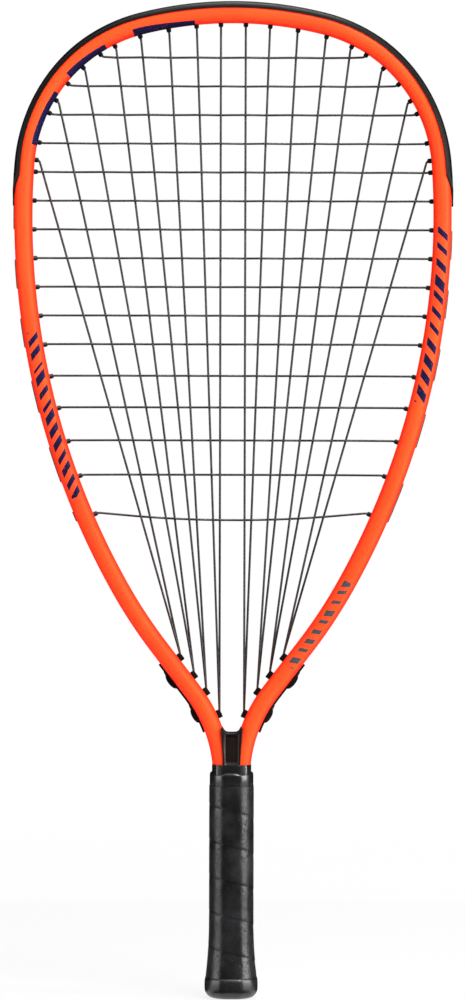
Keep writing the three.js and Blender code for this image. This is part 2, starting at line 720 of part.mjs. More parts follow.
function makeCrossString() {
  const points = [...tail(-crossRuns[0], -1).reverse()];
  crosses.forEach((cross, index) => {
    const rightward = index % 2 === 0;
    const crossings = crossCrossings(cross);
    points.push(...(rightward ? crossings : crossings.reverse()));
    if (index === crosses.length - 1) return;
    const side = rightward ? 1 : -1;
    const depth = index + 1 < GUARD_CROSSES ? loopOffset : 0;
    points.push(...outsideLoop(side * crossRuns[index], side * crossRuns[index + 1], depth));
  });
  points.push(...tail(-crossRuns.at(-1), 1));
  return cordAlong(points);
}

// Handle sections: the grip's outline drawn in or let out by one distance all round
function handleOutline(inset) {
  return mirrorOutline(HANDLE_OUTLINE_SHARES, gripHalfWidth - inset, gripHalfDepth - inset);
}

function handleLoft(levels) {
  const rings = levels.map(([height, inset]) => (
    handleOutline(inset).map(({ x, y }) => new THREE.Vector3(x, y, height))
  ));
  return toManifold(loft(rings, handleOutline(0)));
}

// How far the handle's skin is let out towards the butt
function flareAt(height) {
  const share = (FLARE_TOP_HEIGHT - height) / (FLARE_TOP_HEIGHT - WRAP_FOOT_HEIGHT);
  return height < FLARE_TOP_HEIGHT ? BUTT_FLARE * share * share : 0;
}

const flareHeights = FLARE_STEP_SHARES.map((share) => (
  WRAP_FOOT_HEIGHT + share * (FLARE_TOP_HEIGHT - WRAP_FOOT_HEIGHT)
));

// A cutter for the seam of the wound strip. It winds down round the handle, with a square upper
// wall and a sloping lower one, and it crosses the front's middle at the first seam's height.
function makeSeamCutter() {
  const corners = handleOutline(0);
  const sides = corners.map((corner, k) => corner.distanceTo(corners[(k + 1) % corners.length]));
  const girth = sides.reduce((sum, side) => sum + side, 0);
  // The seam starts a turn above the wrap's first seam, at the right corner of the front facet
  let k = corners.findIndex(({ x, y }) => x > 0 && y === Math.min(...corners.map((c) => c.y)));
  const halfFront = corners[k].x;
  const opening = (SEAM_WIDTH * (OVERRUN + SEAM_DEPTH)) / SEAM_DEPTH;
  const rings = [];
  let height = gripTop - FIRST_SEAM_DISTANCE + SEAM_PITCH - (SEAM_PITCH * halfFront) / girth;
  while (height > WRAP_FOOT_HEIGHT - SEAM_PITCH) {
    const flare = flareAt(height);
    const outer = handleOutline(-flare - OVERRUN)[k];
    const floor = handleOutline(-flare + SEAM_DEPTH)[k];
    rings.push([
      new THREE.Vector3(outer.x, outer.y, height),
      new THREE.Vector3(floor.x, floor.y, height),
      new THREE.Vector3(outer.x, outer.y, height - opening),
    ]);
    height -= (SEAM_PITCH * sides[k]) / girth;
    k = (k + 1) % corners.length;
  }
  const triangle = [new THREE.Vector2(1, 1), new THREE.Vector2(0, 1), new THREE.Vector2(1, 0)];
  return toManifold(loft(rings, triangle));
}

function makeGripWrap() {
  const top = bandFoot - FIT_GAP;
  const outer = handleLoft([...flareHeights.map((height) => [height, -flareAt(height)]), [top, 0]]);
  const inner = handleLoft([
    [WRAP_FOOT_HEIGHT - OVERRUN, WRAP_THICKNESS - BUTT_FLARE],
    ...flareHeights.map((height) => [height, WRAP_THICKNESS - flareAt(height)]),
    [top + OVERRUN, WRAP_THICKNESS],
  ]);
  return toGeometry(subtractAll(outer, [inner, makeSeamCutter()]));
}

function makeGripBand() {
  const outer = handleLoft([[bandFoot, BAND_STEP], [gripTop, BAND_STEP]]);
  const inner = handleLoft([
    [bandFoot - OVERRUN, WRAP_THICKNESS],
    [gripTop + OVERRUN, WRAP_THICKNESS],
  ]);
  return toGeometry(outer.subtract(inner));
}

function makeGripCollar() {
  const foot = gripTop + FIT_GAP;
  const shaftReach = framePoint(runAtHeight(collarTop, tubeHalfWidth), tubeHalfWidth).x;
  const halfWidth = shaftReach + FIT_GAP;
  const halfDepth = yokeDepth / 2 + COLLAR_ROOM;
  const sleeve = (low, high, wall) => {
    const outline = mirrorOutline(COLLAR_OUTLINE_SHARES, halfWidth + wall, halfDepth + wall);
    const rings = [low, high].map((height) => (
      outline.map(({ x, y }) => new THREE.Vector3(x, y, height))
    ));
    return toManifold(loft(rings, outline));
  };
  const outer = sleeve(foot, collarTop, COLLAR_WALL);
  return toGeometry(outer.subtract(sleeve(foot - OVERRUN, collarTop + OVERRUN, 0)));
}

// One of the two pads that fill the handle in front of the shafts and behind them
function makeHandleShell(face) {
  const foot = SHAFT_FOOT_HEIGHT;
  const top = yokeFoot - FIT_GAP;
  const inset = WRAP_THICKNESS + FIT_GAP;
  const body = handleLoft([[foot, inset], [top, inset]]);
  const keepLength = top - foot + 2 * OVERRUN;
  const keep = new THREE.BoxGeometry(2 * gripHalfWidth, 2 * gripHalfDepth, keepLength);
  keep.translate(0, face * (tubeHalfDepth + FIT_GAP + gripHalfDepth), (foot + top) / 2);
  return toGeometry(body.intersect(toManifold(keep)));
}

function makeShaftPlug(side) {
  const top = shaftFoot - PLUG_LENGTH;
  return toGeometry(sweepAlongFrame(side * top, side * shaftFoot, () => cavityOutline(FIT_GAP)));
}

function makeButtCap() {
  const kneeHeight = WRAP_FOOT_HEIGHT - FIT_GAP;
  const outer = handleLoft([
    ...CAP_ROUNDING_SHARES.map(([height, inset]) => (
      [height * CAP_FOOT_ROUNDING, inset * CAP_FOOT_ROUNDING - CAP_BELLY_FLARE]
    )),
    [CAP_BELLY_HEIGHT, -CAP_BELLY_FLARE],
    [kneeHeight, -BUTT_FLARE],
  ]);
  const skirtInset = (height) => WRAP_THICKNESS + FIT_GAP - flareAt(height);
  const skirt = handleLoft([
    [kneeHeight - FIT_GAP, skirtInset(WRAP_FOOT_HEIGHT)],
    [WRAP_FOOT_HEIGHT, skirtInset(WRAP_FOOT_HEIGHT)],
    [flareHeights[1], skirtInset(flareHeights[1])],
    [CAP_SKIRT_TOP_HEIGHT, skirtInset(CAP_SKIRT_TOP_HEIGHT)],
  ]);
  const hollow = handleLoft([
    [CAP_FLOOR, WRAP_THICKNESS],
    [CAP_SKIRT_TOP_HEIGHT + OVERRUN, WRAP_THICKNESS],
  ]);
  const slots = [-1, 1].map((side) => {
    const slotHeight = CAP_FLOOR + 2 * OVERRUN;
    const slot = new THREE.BoxGeometry(TETHER_SLOT_WIDTH, TETHER_SLOT_DEPTH, slotHeight);
    slot.translate((side * (TETHER_BAR_WIDTH + TETHER_SLOT_WIDTH)) / 2, 0, CAP_FLOOR / 2);
    return toManifold(slot);
  });
  return toGeometry(subtractAll(outer.add(skirt), [hollow, ...slots]));
}

// Colours and finishes
const finish = (color, roughness, metalness = 0) => (
  new THREE.MeshStandardMaterial({ color, roughness, metalness })
);
const framePaint = finish('#ff5a2b', 0.35);
const guardPlastic = finish('#242123', 0.5);
const stripPlastic = finish('#1c1a1b', 0.45);
const yokePlastic = finish('#1f1413', 0.4);
const stringNylon = finish('#3a3b3d', 0.4);
const gripRubber = finish('#2b2b2d', 0.75);
const bandRubber = finish('#1b1c1d', 0.6);
const capRubber = finish('#1d1d1f', 0.65);
const shellFoam = finish('#4a4a4c', 0.9);
const plugFoam = finish('#8b8a86', 0.95);

const racket = new THREE.Group();
racket.name = 'racquetball_racket';

function addPiece(name, geometry, material) {
  const mesh = new THREE.Mesh(geometry, material);
  mesh.name = name;
  racket.add(mesh);
}

addPiece('frame_tube', makeFrameTube(), framePaint);
addPiece('head_guard', makeHeadGuard(), guardPlastic);
for (const [word, side] of [['left', -1], ['right', 1]]) {
  addPiece(`side_grommet_strip_${word}`, makeSideStrip(side), stripPlastic);
  addPiece(`throat_strip_${word}`, makeThroatStrip(side), stripPlastic);
  portRuns.forEach((run, index) => {
    addPiece(`port_sleeve_${word}_${index + 1}`, makePortSleeve(side * run), stripPlastic);
  });
  addPiece(`shaft_plug_${word}`, makeShaftPlug(side), plugFoam);
}
addPiece('throat_yoke', makeThroatYoke(), yokePlastic);
addPiece('main_string', makeMainString(), stringNylon);
addPiece('cross_string', makeCrossString(), stringNylon);
addPiece('handle_shell_front', makeHandleShell(-1), shellFoam);
addPiece('handle_shell_back', makeHandleShell(1), shellFoam);
addPiece('grip_wrap', makeGripWrap(), gripRubber);
addPiece('grip_band', makeGripBand(), bandRubber);
addPiece('grip_collar', makeGripCollar(), bandRubber);
addPiece('butt_cap', makeButtCap(), capRubber);

racket.position.z = -(WRAP_FOOT_HEIGHT + gripTop) / 2;

export default racket;
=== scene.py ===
# %% [markdown]
# A racquetball racket, dressed around its CAD frame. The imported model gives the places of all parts, and
# every piece below is built in the same metres: X across the face, Y through it with the front at -Y, Z to
# the head.

# %% Load the frame
import math

import bmesh
import bpy
from mathutils import Matrix, Vector


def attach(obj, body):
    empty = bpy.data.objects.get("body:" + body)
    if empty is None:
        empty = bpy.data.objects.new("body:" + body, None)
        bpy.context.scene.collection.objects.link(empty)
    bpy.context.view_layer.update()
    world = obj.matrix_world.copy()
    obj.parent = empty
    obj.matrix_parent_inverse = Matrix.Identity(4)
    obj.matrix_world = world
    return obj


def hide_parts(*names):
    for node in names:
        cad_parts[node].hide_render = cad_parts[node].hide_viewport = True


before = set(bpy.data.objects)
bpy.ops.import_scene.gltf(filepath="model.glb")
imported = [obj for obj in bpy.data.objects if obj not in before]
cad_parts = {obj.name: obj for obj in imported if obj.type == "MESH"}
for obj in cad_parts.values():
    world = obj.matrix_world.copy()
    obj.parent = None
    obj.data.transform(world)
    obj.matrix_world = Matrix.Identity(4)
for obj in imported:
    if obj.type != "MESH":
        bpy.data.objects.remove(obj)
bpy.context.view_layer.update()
scene = bpy.context.scene
print("CAD nodes:", len(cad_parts))

# %% [markdown]
# Lengths are written in millimetres, as on a maker's drawing, and MM turns them into Blender's metres.
# These first sizes are the ones that several pieces share.

# %% Shared sizes
MM = 0.001
FIT_GAP = 0.3 * MM
BUTT_TO_ORIGIN = 69.6 * MM

TUBE_HALF_WIDTH = 5 * MM
TUBE_HALF_DEPTH = 10 * MM
GROOVE_HALF_WIDTH = 3.5 * MM
GROOVE_FLOOR = 3.6 * MM
STRIP_UNDERSIDE = 3.9 * MM
STRIP_TOP = 4.4 * MM
STRIP_HALF_WIDTH = 3.2 * MM

STRING_RADIUS = 0.625 * MM
SEAT_GAP = 0.05 * MM
STRING_SEAT = STRIP_TOP + SEAT_GAP + STRING_RADIUS
WEAVE_RISE = STRING_RADIUS + FIT_GAP / 2
LOOP_OFFSET = 2 * STRING_RADIUS + FIT_GAP
BARREL_TIP = -7.3 * MM
STRING_EXIT = 0.75 * MM
STRING_BEND = 0.3 * MM
print("string seat, mm:", round(STRING_SEAT / MM, 2))

# %% [markdown]
# The frame's centreline is a chain of tangent arcs: crown, shoulder, side, lower side, a straight run, the
# throat's reverse bend and the shaft. Every part of the hoop is placed by its run along this line, so the
# line comes first. A leg keeps where it starts, its heading (clockwise from +X) and the angle that it turns
# through.

# %% Centreline of the hoop
CROWN_RADIUS, CROWN_SWEEP = 212 * MM, math.radians(14)
SHOULDER_RADIUS, SHOULDER_SWEEP = 86.5 * MM, math.radians(72)
SIDE_RADIUS, SIDE_SWEEP = 425 * MM, math.radians(33.5)
LOWER_RADIUS, LOWER_SWEEP = 277 * MM, math.radians(8)
THROAT_RADIUS = 79 * MM
THROAT_FOOT_HEIGHT = 123.5 * MM
SHAFT_FOOT_HEIGHT = 10 * MM
SHAFT_OFFSET = 5.4 * MM


def point_on_leg(leg, distance):
    heading = leg["heading"] + leg["turn"] * distance / leg["length"]
    if leg["turn"] == 0:
        across = leg["x"] + distance * math.cos(heading)
        return across, leg["z"] - distance * math.sin(heading), heading
    radius = leg["length"] / leg["turn"]
    across = leg["x"] + radius * (math.sin(heading) - math.sin(leg["heading"]))
    up = leg["z"] + radius * (math.cos(heading) - math.cos(leg["heading"]))
    return across, up, heading


def lay_centreline():
    laid = []
    end = {"start": 0.0, "x": 0.0, "z": 0.0, "heading": 0.0}

    def add_leg(length, turn):
        leg = dict(end, length=length, turn=turn)
        laid.append(leg)
        end["x"], end["z"], end["heading"] = point_on_leg(leg, length)
        end["start"] = leg["start"] + length

    for radius, sweep in (
        (CROWN_RADIUS, CROWN_SWEEP), (SHOULDER_RADIUS, SHOULDER_SWEEP),
        (SIDE_RADIUS, SIDE_SWEEP), (LOWER_RADIUS, LOWER_SWEEP),
    ):
        add_leg(radius * sweep, sweep)
    throat_sweep = end["heading"] - math.pi / 2
    throat_reach = THROAT_RADIUS * (1 - math.sin(end["heading"]))
    add_leg((end["x"] - throat_reach - SHAFT_OFFSET) / -math.cos(end["heading"]), 0)
    add_leg(THROAT_RADIUS * throat_sweep, -throat_sweep)
    lift = THROAT_FOOT_HEIGHT - BUTT_TO_ORIGIN - end["z"]
    add_leg(THROAT_FOOT_HEIGHT - SHAFT_FOOT_HEIGHT, 0)
    for leg in laid:
        leg["z"] += lift
    return laid


legs = lay_centreline()
shoulder_end = legs[2]["start"]
throat_foot = legs[-1]["start"]
shaft_foot = throat_foot + legs[-1]["length"]


def frame_point(run, out=0.0, depth=0.0):
    """A point of the hoop: run from the crown (negative on the left), out of the hoop, depth along Y."""
    side = -1 if run < 0 else 1
    distance = abs(run)
    leg = [leg for leg in legs if leg["start"] <= distance][-1]
    across, up, heading = point_on_leg(leg, distance - leg["start"])
    return Vector((side * (across + out * math.sin(heading)), depth, up + out * math.cos(heading)))


def frame_matrix(run):
    """Local X runs along the tube, Y through the face and Z out of the hoop, from the tube's axis."""
    start = frame_point(run)
    outward = (frame_point(run, MM) - start).normalized()
    along = Vector((0, 1, 0)).cross(outward)
    turn = Matrix((along, (0, 1, 0), outward)).transposed().to_4x4()
    return Matrix.Translation(start) @ turn


print("centreline, mm:", round(2 * shaft_foot / MM, 1))

# %% [markdown]
# The camera stands straight in front, as in the photograph, with a long lens so that near and far parts
# keep their sizes. Its distance and lens together fill the picture's height with 561.7 mm at the racket.

# %% Camera
PHOTO_HEIGHT_MM = 561.7
CAMERA_DISTANCE = 2.6
SENSOR_WIDTH_MM = 36.0
CAMERA_AIM = Vector((0.14 * MM, 0, 209.7 * MM))
CAMERA_LEAN = math.radians(0.143)

camera_data = bpy.data.cameras.new("photo_camera")
camera_data.sensor_width = SENSOR_WIDTH_MM
camera_data.lens = SENSOR_WIDTH_MM * CAMERA_DISTANCE / (PHOTO_HEIGHT_MM * MM)
camera = bpy.data.objects.new("photo_camera", camera_data)
camera.matrix_world = (
    Matrix.Translation(CAMERA_AIM + Vector((0, -CAMERA_DISTANCE, 0)))
    @ Matrix.Rotation(math.pi / 2, 4, "X")
    @ Matrix.Rotation(CAMERA_LEAN, 4, "Z")
)
scene.collection.objects.link(camera)
scene.camera = camera
scene.view_settings.view_transform = "Standard"
print("lens, mm:", round(camera_data.lens, 1))

# %% [markdown]
# Small helpers keep the recipes below short. The first ones add one node each to a material, link what is
# a socket and set what is a number. The last two turn a bmesh into an object of the scene.

# %% Helpers
def set_inputs(tree, node, inputs):
    for key, value in inputs.items():
        if isinstance(value, bpy.types.NodeSocket):
            tree.links.new(value, node.inputs[key])
        else:
            node.inputs[key].default_value = value


def add_node(tree, kind, inputs=None, **settings):
    node = tree.nodes.new(kind)
    for key, value in settings.items():
        setattr(node, key, value)
    set_inputs(tree, node, inputs or {})
    return node


def start_material(name):
    material = bpy.data.materials.new(name)
    material.use_nodes = True
    tree = material.node_tree
    return material, tree, tree.nodes["Principled BSDF"]


def maths(tree, operation, one, other=0.0):
    return add_node(tree, "ShaderNodeMath", {0: one, 1: other}, operation=operation).outputs[0]


def any_of(tree, masks):
    """The strongest of several masks."""
    whole = masks[0]
    for mask in masks[1:]:
        whole = maths(tree, "MAXIMUM", whole, mask)
    return whole


def fade(tree, value, low, high, first=0.0, last=1.0):
    """A smooth change from first at low to last at high."""
    inputs = {"Value": value, "From Min": low, "From Max": high, "To Min": first, "To Max": last}
    node = add_node(tree, "ShaderNodeMapRange", inputs, interpolation_type="SMOOTHSTEP")
    return node.outputs["Result"]


def blend_colours(tree, share, one, other):
    node = add_node(tree, "ShaderNodeMix", {0: share, 6: one, 7: other}, data_type="RGBA")
    return node.outputs[2]


def speckle(tree, place, size, detail=3.0, roughness=0.55):
    """Cloudy noise whose patches are about size across."""
    inputs = {"Vector": place, "Scale": 1 / size, "Detail": detail, "Roughness": roughness}
    return add_node(tree, "ShaderNodeTexNoise", inputs).outputs["Fac"]


def raise_surface(tree, height, depth, strength=1.0, below=None):
    inputs = {"Height": height, "Distance": depth, "Strength": strength}
    if below is not None:
        inputs["Normal"] = below
    return add_node(tree, "ShaderNodeBump", inputs).outputs["Normal"]


def object_place(tree):
    return add_node(tree, "ShaderNodeTexCoord").outputs["Object"]


def map_place(tree):
    """The two coordinates of a piece's own UV map, which are lengths in metres."""
    uv = add_node(tree, "ShaderNodeTexCoord").outputs["UV"]
    split = add_node(tree, "ShaderNodeSeparateXYZ", {0: uv})
    return split.outputs[0], split.outputs[1]


def take_mesh(name, bm):
    mesh = bpy.data.meshes.new(name)
    bm.to_mesh(mesh)
    bm.free()
    return mesh


def link_object(name, data, material):
    data.materials.append(material)
    made = bpy.data.objects.new(name, data)
    scene.collection.objects.link(made)
    return made


# %% [markdown]
# Studio. It is a plain white floor and an even white room. Both look plain white where the camera or a
# reflection sees them, and the floor round the racket keeps a share of its own shading, and with it the
# soft shadow. Broad lamps at the two sides draw the grey bands along the bevels of the grip, the right one
# stronger, and two more from above light the front and the back. Photographers hang black cloth round
# glossy things, out of the camera's sight, so that their edges turn dark against white. Here two curved
# curtains, a low card and two mats do that, and only reflections see the mats.

# %% Studio
FLOOR_HALF_SIZE = 60.0
FLOOR_HEIGHT = -BUTT_TO_ORIGIN - 0.1 * MM
FLOOR_GREY = (0.8, 0.8, 0.8, 1)
WHITE = (1, 1, 1, 1)
SHADOW_REACH = (0.5, 1.6)
PLAIN_SHARE_NEAR = 0.85
ROOM_STRENGTH = 0.35
CLOTH_BLACK = (0.01, 0.01, 0.01, 1)
CLOTH_STEPS = 32
CURTAIN_LIFT = 10 * MM
MAT_LIFT = 0.05 * MM
MAT_START = 20 * MM
FRONT_DISTANCE, FRONT_HEIGHT = 3.4, 3.4
CARD_DISTANCE, CARD_HEIGHT = 0.4, 0.2
BACK_DISTANCE, BACK_HEIGHT = 0.65, 1.6
# Where each sweep round the racket begins, and the angle that it goes through
FRONT_SWEEP = (math.radians(-50), math.radians(100))
BACK_SWEEP = (math.radians(90), math.radians(184))
# The distance and height of both ends of a cloth's edge in metres, its sweep, and whether it darkens matt
# things too
CLOTHS = {
    "front_curtain": ((FRONT_DISTANCE, CURTAIN_LIFT), (FRONT_DISTANCE, FRONT_HEIGHT), FRONT_SWEEP, True),
    "front_card": ((CARD_DISTANCE, CURTAIN_LIFT), (CARD_DISTANCE, CARD_HEIGHT), FRONT_SWEEP, True),
    "back_curtain": ((BACK_DISTANCE, CURTAIN_LIFT), (BACK_DISTANCE, BACK_HEIGHT), BACK_SWEEP, True),
    "front_mat": ((MAT_START, MAT_LIFT), (CARD_DISTANCE, MAT_LIFT), FRONT_SWEEP, False),
    "back_mat": ((MAT_START, MAT_LIFT), (BACK_DISTANCE, MAT_LIFT), BACK_SWEEP, False),
}
HEAD_MIDDLE = Vector((0, 0, 0.25))
# Place, width and height in metres, and power in watts
LAMPS = {
    "right_softbox": ((2.0, -0.7, 0.5), 0.45, 1.7, 30),
    "left_softbox": ((-2.0, -0.7, 0.2), 0.35, 1.7, 11),
    "front_softbox": ((1.05, -1.8, 2.2), 1.4, 1.0, 68),
    "back_softbox": ((0.3, 1.1, 2.9), 1.4, 1.0, 50),
}


def seen_share(tree):
    """1 for the rays that show the background itself: the camera's, and those of gloss and of glass."""
    rays = add_node(tree, "ShaderNodeLightPath").outputs
    return any_of(tree, [rays[f"Is {kind} Ray"] for kind in ("Camera", "Glossy", "Transmission")])


def make_floor():
    material, tree, shader = start_material("white_floor")
    set_inputs(tree, shader, {"Base Color": FLOOR_GREY, "Roughness": 0.9, "Specular IOR Level": 0.0})
    away = add_node(tree, "ShaderNodeVectorMath", {0: object_place(tree)}, operation="LENGTH")
    plain = fade(tree, away.outputs["Value"], *SHADOW_REACH, PLAIN_SHARE_NEAR, 1.0)
    white = add_node(tree, "ShaderNodeEmission", {"Color": WHITE, "Strength": 1.0})
    share = maths(tree, "MULTIPLY", seen_share(tree), plain)
    mixed = add_node(tree, "ShaderNodeMixShader", {0: share, 1: shader.outputs[0], 2: white.outputs[0]})
    set_inputs(tree, tree.nodes["Material Output"], {"Surface": mixed.outputs[0]})
    bm = bmesh.new()
    bmesh.ops.create_grid(bm, x_segments=1, y_segments=1, size=FLOOR_HALF_SIZE)
    bmesh.ops.translate(bm, verts=bm.verts, vec=(0, 0, FLOOR_HEIGHT))
    link_object("studio_floor", take_mesh("studio_floor", bm), material)


def make_room():
    world = bpy.data.worlds.new("white_room")
    world.use_nodes = True
    tree = world.node_tree
    strength = maths(tree, "MAXIMUM", seen_share(tree), ROOM_STRENGTH)
    set_inputs(tree, tree.nodes["Background"], {"Color": WHITE, "Strength": strength})
    scene.world = world


def hang_cloth(name, first, last, sweep, darkens_matt):
    """A black cloth whose edge, from the first (distance, height) to the last, is swept round the racket."""
    material, tree, shader = start_material(name)
    set_inputs(tree, shader, {"Base Color": CLOTH_BLACK, "Roughness": 1.0, "Specular IOR Level": 0.0})
    start, angle = sweep
    toward = Vector((math.sin(start), -math.cos(start), 0))
    bm = bmesh.new()
    ends = []
    for distance, height in (first, last):
        ends.append(bm.verts.new(toward * distance + Vector((0, 0, FLOOR_HEIGHT + height))))
    bmesh.ops.spin(
        bm, geom=[*ends, bm.edges.new(ends)], cent=(0, 0, 0), axis=(0, 0, 1), angle=angle,
        steps=CLOTH_STEPS, use_merge=False, use_duplicate=False,
    )
    cloth = link_object(name, take_mesh(name, bm), material)
    cloth.visible_camera = False
    cloth.visible_shadow = False
    cloth.visible_diffuse = darkens_matt


def add_lamp(name, place, width, height, power):
    lamp = bpy.data.lights.new(name, "AREA")
    lamp.shape = "RECTANGLE"
    lamp.size, lamp.size_y = width, height
    lamp.energy = power
    holder = bpy.data.objects.new(name, lamp)
    back = Vector(place) - HEAD_MIDDLE
    holder.matrix_world = Matrix.Translation(place) @ back.to_track_quat("Z", "Y").to_matrix().to_4x4()
    scene.collection.objects.link(holder)


make_floor()
make_room()
for name, cloth in CLOTHS.items():
    hang_cloth(name, *cloth)
for name, lamp in LAMPS.items():
    add_lamp(name, *lamp)
print("cloths:", len(CLOTHS), "lamps:", len(LAMPS))

# %% [markdown]
# Paint. The carbon frame carries a glossy fluorescent orange lacquer. Real fluorescent paint gives back more
# red than falls on it; here a little red emission stands in for that: a painted glow, lit whatever the lamps
# do, so that the shaded flanks stay red instead of going brown. The colour is also painted redder where the
# surface is seen aslant, which is painted shade on the flanks. Fine noise in the height gives the
# orange-peel of sprayed paint, and larger noise a slight change of tone. The dark blue and grey marks are
# generic dashes.
# They follow the tube, so they read the piece's own map: run along it, out across it.

# %% Orange paint with generic marks
ORANGE = (1.0, 0.115, 0.022, 1)
DEEP_ORANGE = (1.0, 0.095, 0.02, 1)
# Painted shade: the redder colour that the paint takes where its surface is seen aslant
SLANT_SHADE_RED = (1.0, 0.04, 0.012, 1)
# Painted glow: the red that the unmarked paint emits, whatever the lamps do
PAINTED_GLOW_RED = (1.0, 0.01, 0.005, 1)
NO_GLOW = (0, 0, 0, 1)
NAVY = (0.012, 0.011, 0.06, 1)
SLATE = (0.1, 0.09, 0.1, 1)
MARK_EDGE = 0.12 * MM
TONE_SIZE = 60 * MM
SHEEN_SIZE = 18 * MM
FLAW_SIZE = 1.2 * MM
PEEL_SIZE = 2.2 * MM
PEEL_DEPTH = 0.01 * MM
# A dash: its start and end along the tube, its foot and top across it, and by how much it narrows
NAVY_DASHES_MM = (
    (-58, -22, -5.4, -2.0, 1.4), (-104, -76, -5.4, -2.2, 0.9), (-150, -116, -5.4, -2.4, 0.6),
)
# A hatched field: its start, end, foot and top and the pitch of its bars in mm, then the bars' slant and
# the shares of the pitch that the thinnest and the thickest bar take up
NAVY_FIELDS = (
    ((-352, -256, -3.2, 2.6, 7.5), (0.9, 0.2, 0.75)),
    ((196, 296, -3.0, 2.8, 9), (-0.9, 0.25, 0.8)),
)
SLATE_FIELDS = (((404, 462, -2.4, 2.2, 6.5), (0.5, 0.35, 0.7)),)


def between(tree, value, low, high):
    """1 between low and high, with edges as soft as a print's."""
    rise = fade(tree, value, low - MARK_EDGE, low + MARK_EDGE)
    fall = fade(tree, value, high - MARK_EDGE, high + MARK_EDGE, 1.0, 0.0)
    return maths(tree, "MULTIPLY", rise, fall)


def long_dash(tree, run, out, lengths_mm):
    """One dash along the tube that narrows towards its end."""
    start, end, low, high, narrowing = (length * MM for length in lengths_mm)
    share = fade(tree, run, start, end)
    top = maths(tree, "SUBTRACT", high, maths(tree, "MULTIPLY", share, narrowing))
    under_top = fade(tree, maths(tree, "SUBTRACT", top, out), -MARK_EDGE, MARK_EDGE)
    over_foot = fade(tree, out, low - MARK_EDGE, low + MARK_EDGE)
    across = maths(tree, "MULTIPLY", under_top, over_foot)
    return maths(tree, "MULTIPLY", across, between(tree, run, start, end))


def hatched_field(tree, run, out, lengths_mm, bars):
    """A field of slanted bars whose widths vary from bar to bar."""
    start, end, low, high, pitch = (length * MM for length in lengths_mm)
    slant, thinnest, thickest = bars
    shifted = maths(tree, "ADD", run, maths(tree, "MULTIPLY", out, slant))
    turns = maths(tree, "DIVIDE", shifted, pitch)
    number = maths(tree, "FLOOR", turns)
    phase = maths(tree, "FRACT", turns)
    chance = add_node(tree, "ShaderNodeTexWhiteNoise", {"W": number}, noise_dimensions="1D")
    inputs = {"Value": chance.outputs["Value"], "To Min": thinnest, "To Max": thickest}
    width = add_node(tree, "ShaderNodeMapRange", inputs).outputs["Result"]
    soft = MARK_EDGE / pitch
    bar = fade(tree, maths(tree, "SUBTRACT", width, phase), -soft, soft)
    bar = maths(tree, "MULTIPLY", bar, fade(tree, phase, 0.0, 2 * soft))
    inside = maths(tree, "MULTIPLY", between(tree, run, start, end), between(tree, out, low, high))
    return maths(tree, "MULTIPLY", bar, inside)


def make_frame_paint():
    material, tree, shader = start_material("frame_paint")
    run, out = map_place(tree)
    place = object_place(tree)
    tone = fade(tree, speckle(tree, place, TONE_SIZE), 0.35, 0.65)
    facing = add_node(tree, "ShaderNodeLayerWeight", {"Blend": 0.5}).outputs["Facing"]
    colour = blend_colours(tree, tone, ORANGE, DEEP_ORANGE)
    # Painted shade: the paint turns redder where the surface is seen aslant, as on flanks that turn away
    colour = blend_colours(tree, fade(tree, facing, 0.15, 0.75), colour, SLANT_SHADE_RED)
    navy = [long_dash(tree, run, out, dash) for dash in NAVY_DASHES_MM]
    navy += [hatched_field(tree, run, out, *field) for field in NAVY_FIELDS]
    slate = [hatched_field(tree, run, out, *field) for field in SLATE_FIELDS]
    # A print has small flaws where the lacquer shows through
    flaws = fade(tree, speckle(tree, place, FLAW_SIZE, 4), 0.28, 0.36, 0.25, 1.0)
    bare = 1.0
    for marks, mark_colour in ((navy, NAVY), (slate, SLATE)):
        mask = any_of(tree, marks)
        colour = blend_colours(tree, maths(tree, "MULTIPLY", mask, flaws), colour, mark_colour)
        bare = maths(tree, "MULTIPLY", bare, maths(tree, "SUBTRACT", 1.0, mask))
    peel = speckle(tree, place, PEEL_SIZE, 1)
    set_inputs(tree, shader, {
        # Painted glow: red emission on the unmarked paint lights it whatever the lamps do
        "Base Color": colour, "Emission Color": blend_colours(tree, bare, NO_GLOW, PAINTED_GLOW_RED),
        "Emission Strength": 0.45, "Normal": raise_surface(tree, peel, PEEL_DEPTH, 0.25),
        "Roughness": fade(tree, speckle(tree, place, SHEEN_SIZE), 0.3, 0.7, 0.42, 0.52),
        "Coat Weight": 0.03, "Coat Roughness": 0.25, "Specular IOR Level": 0.08,
    })
    return material


print("marks on the tube:", len(NAVY_DASHES_MM) + len(NAVY_FIELDS) + len(SLATE_FIELDS))

# %% [markdown]
# Moulded plastics and rubber. One recipe serves the black mouldings: a base tone with cloudy variation,
# the fine grain of the mould, and a share of paler scuffs. Each material gives its own colours, grain and
# gloss. The guard gets one thing more, a paler line along its flank, which is a painted highlight.

# %% Moulded blacks
CLOUD_SIZE = 14 * MM
CLOUD_LIFT = 1.5
SCUFF_SIZE = 2.5 * MM
SCUFFED_PATCH = 26 * MM
SCUFF_ROUGHENING = 0.2
FLOW_SIZE = 6 * MM
FLOW_DEPTH = 0.03 * MM
# Painted highlight on the guard's flank: where it lies across the guard, and its paler colour
HIGHLIGHT_LINE_BAND = (4.1 * MM, 4.9 * MM)
HIGHLIGHT_LINE_COLOUR = (0.016, 0.013, 0.0126, 1)
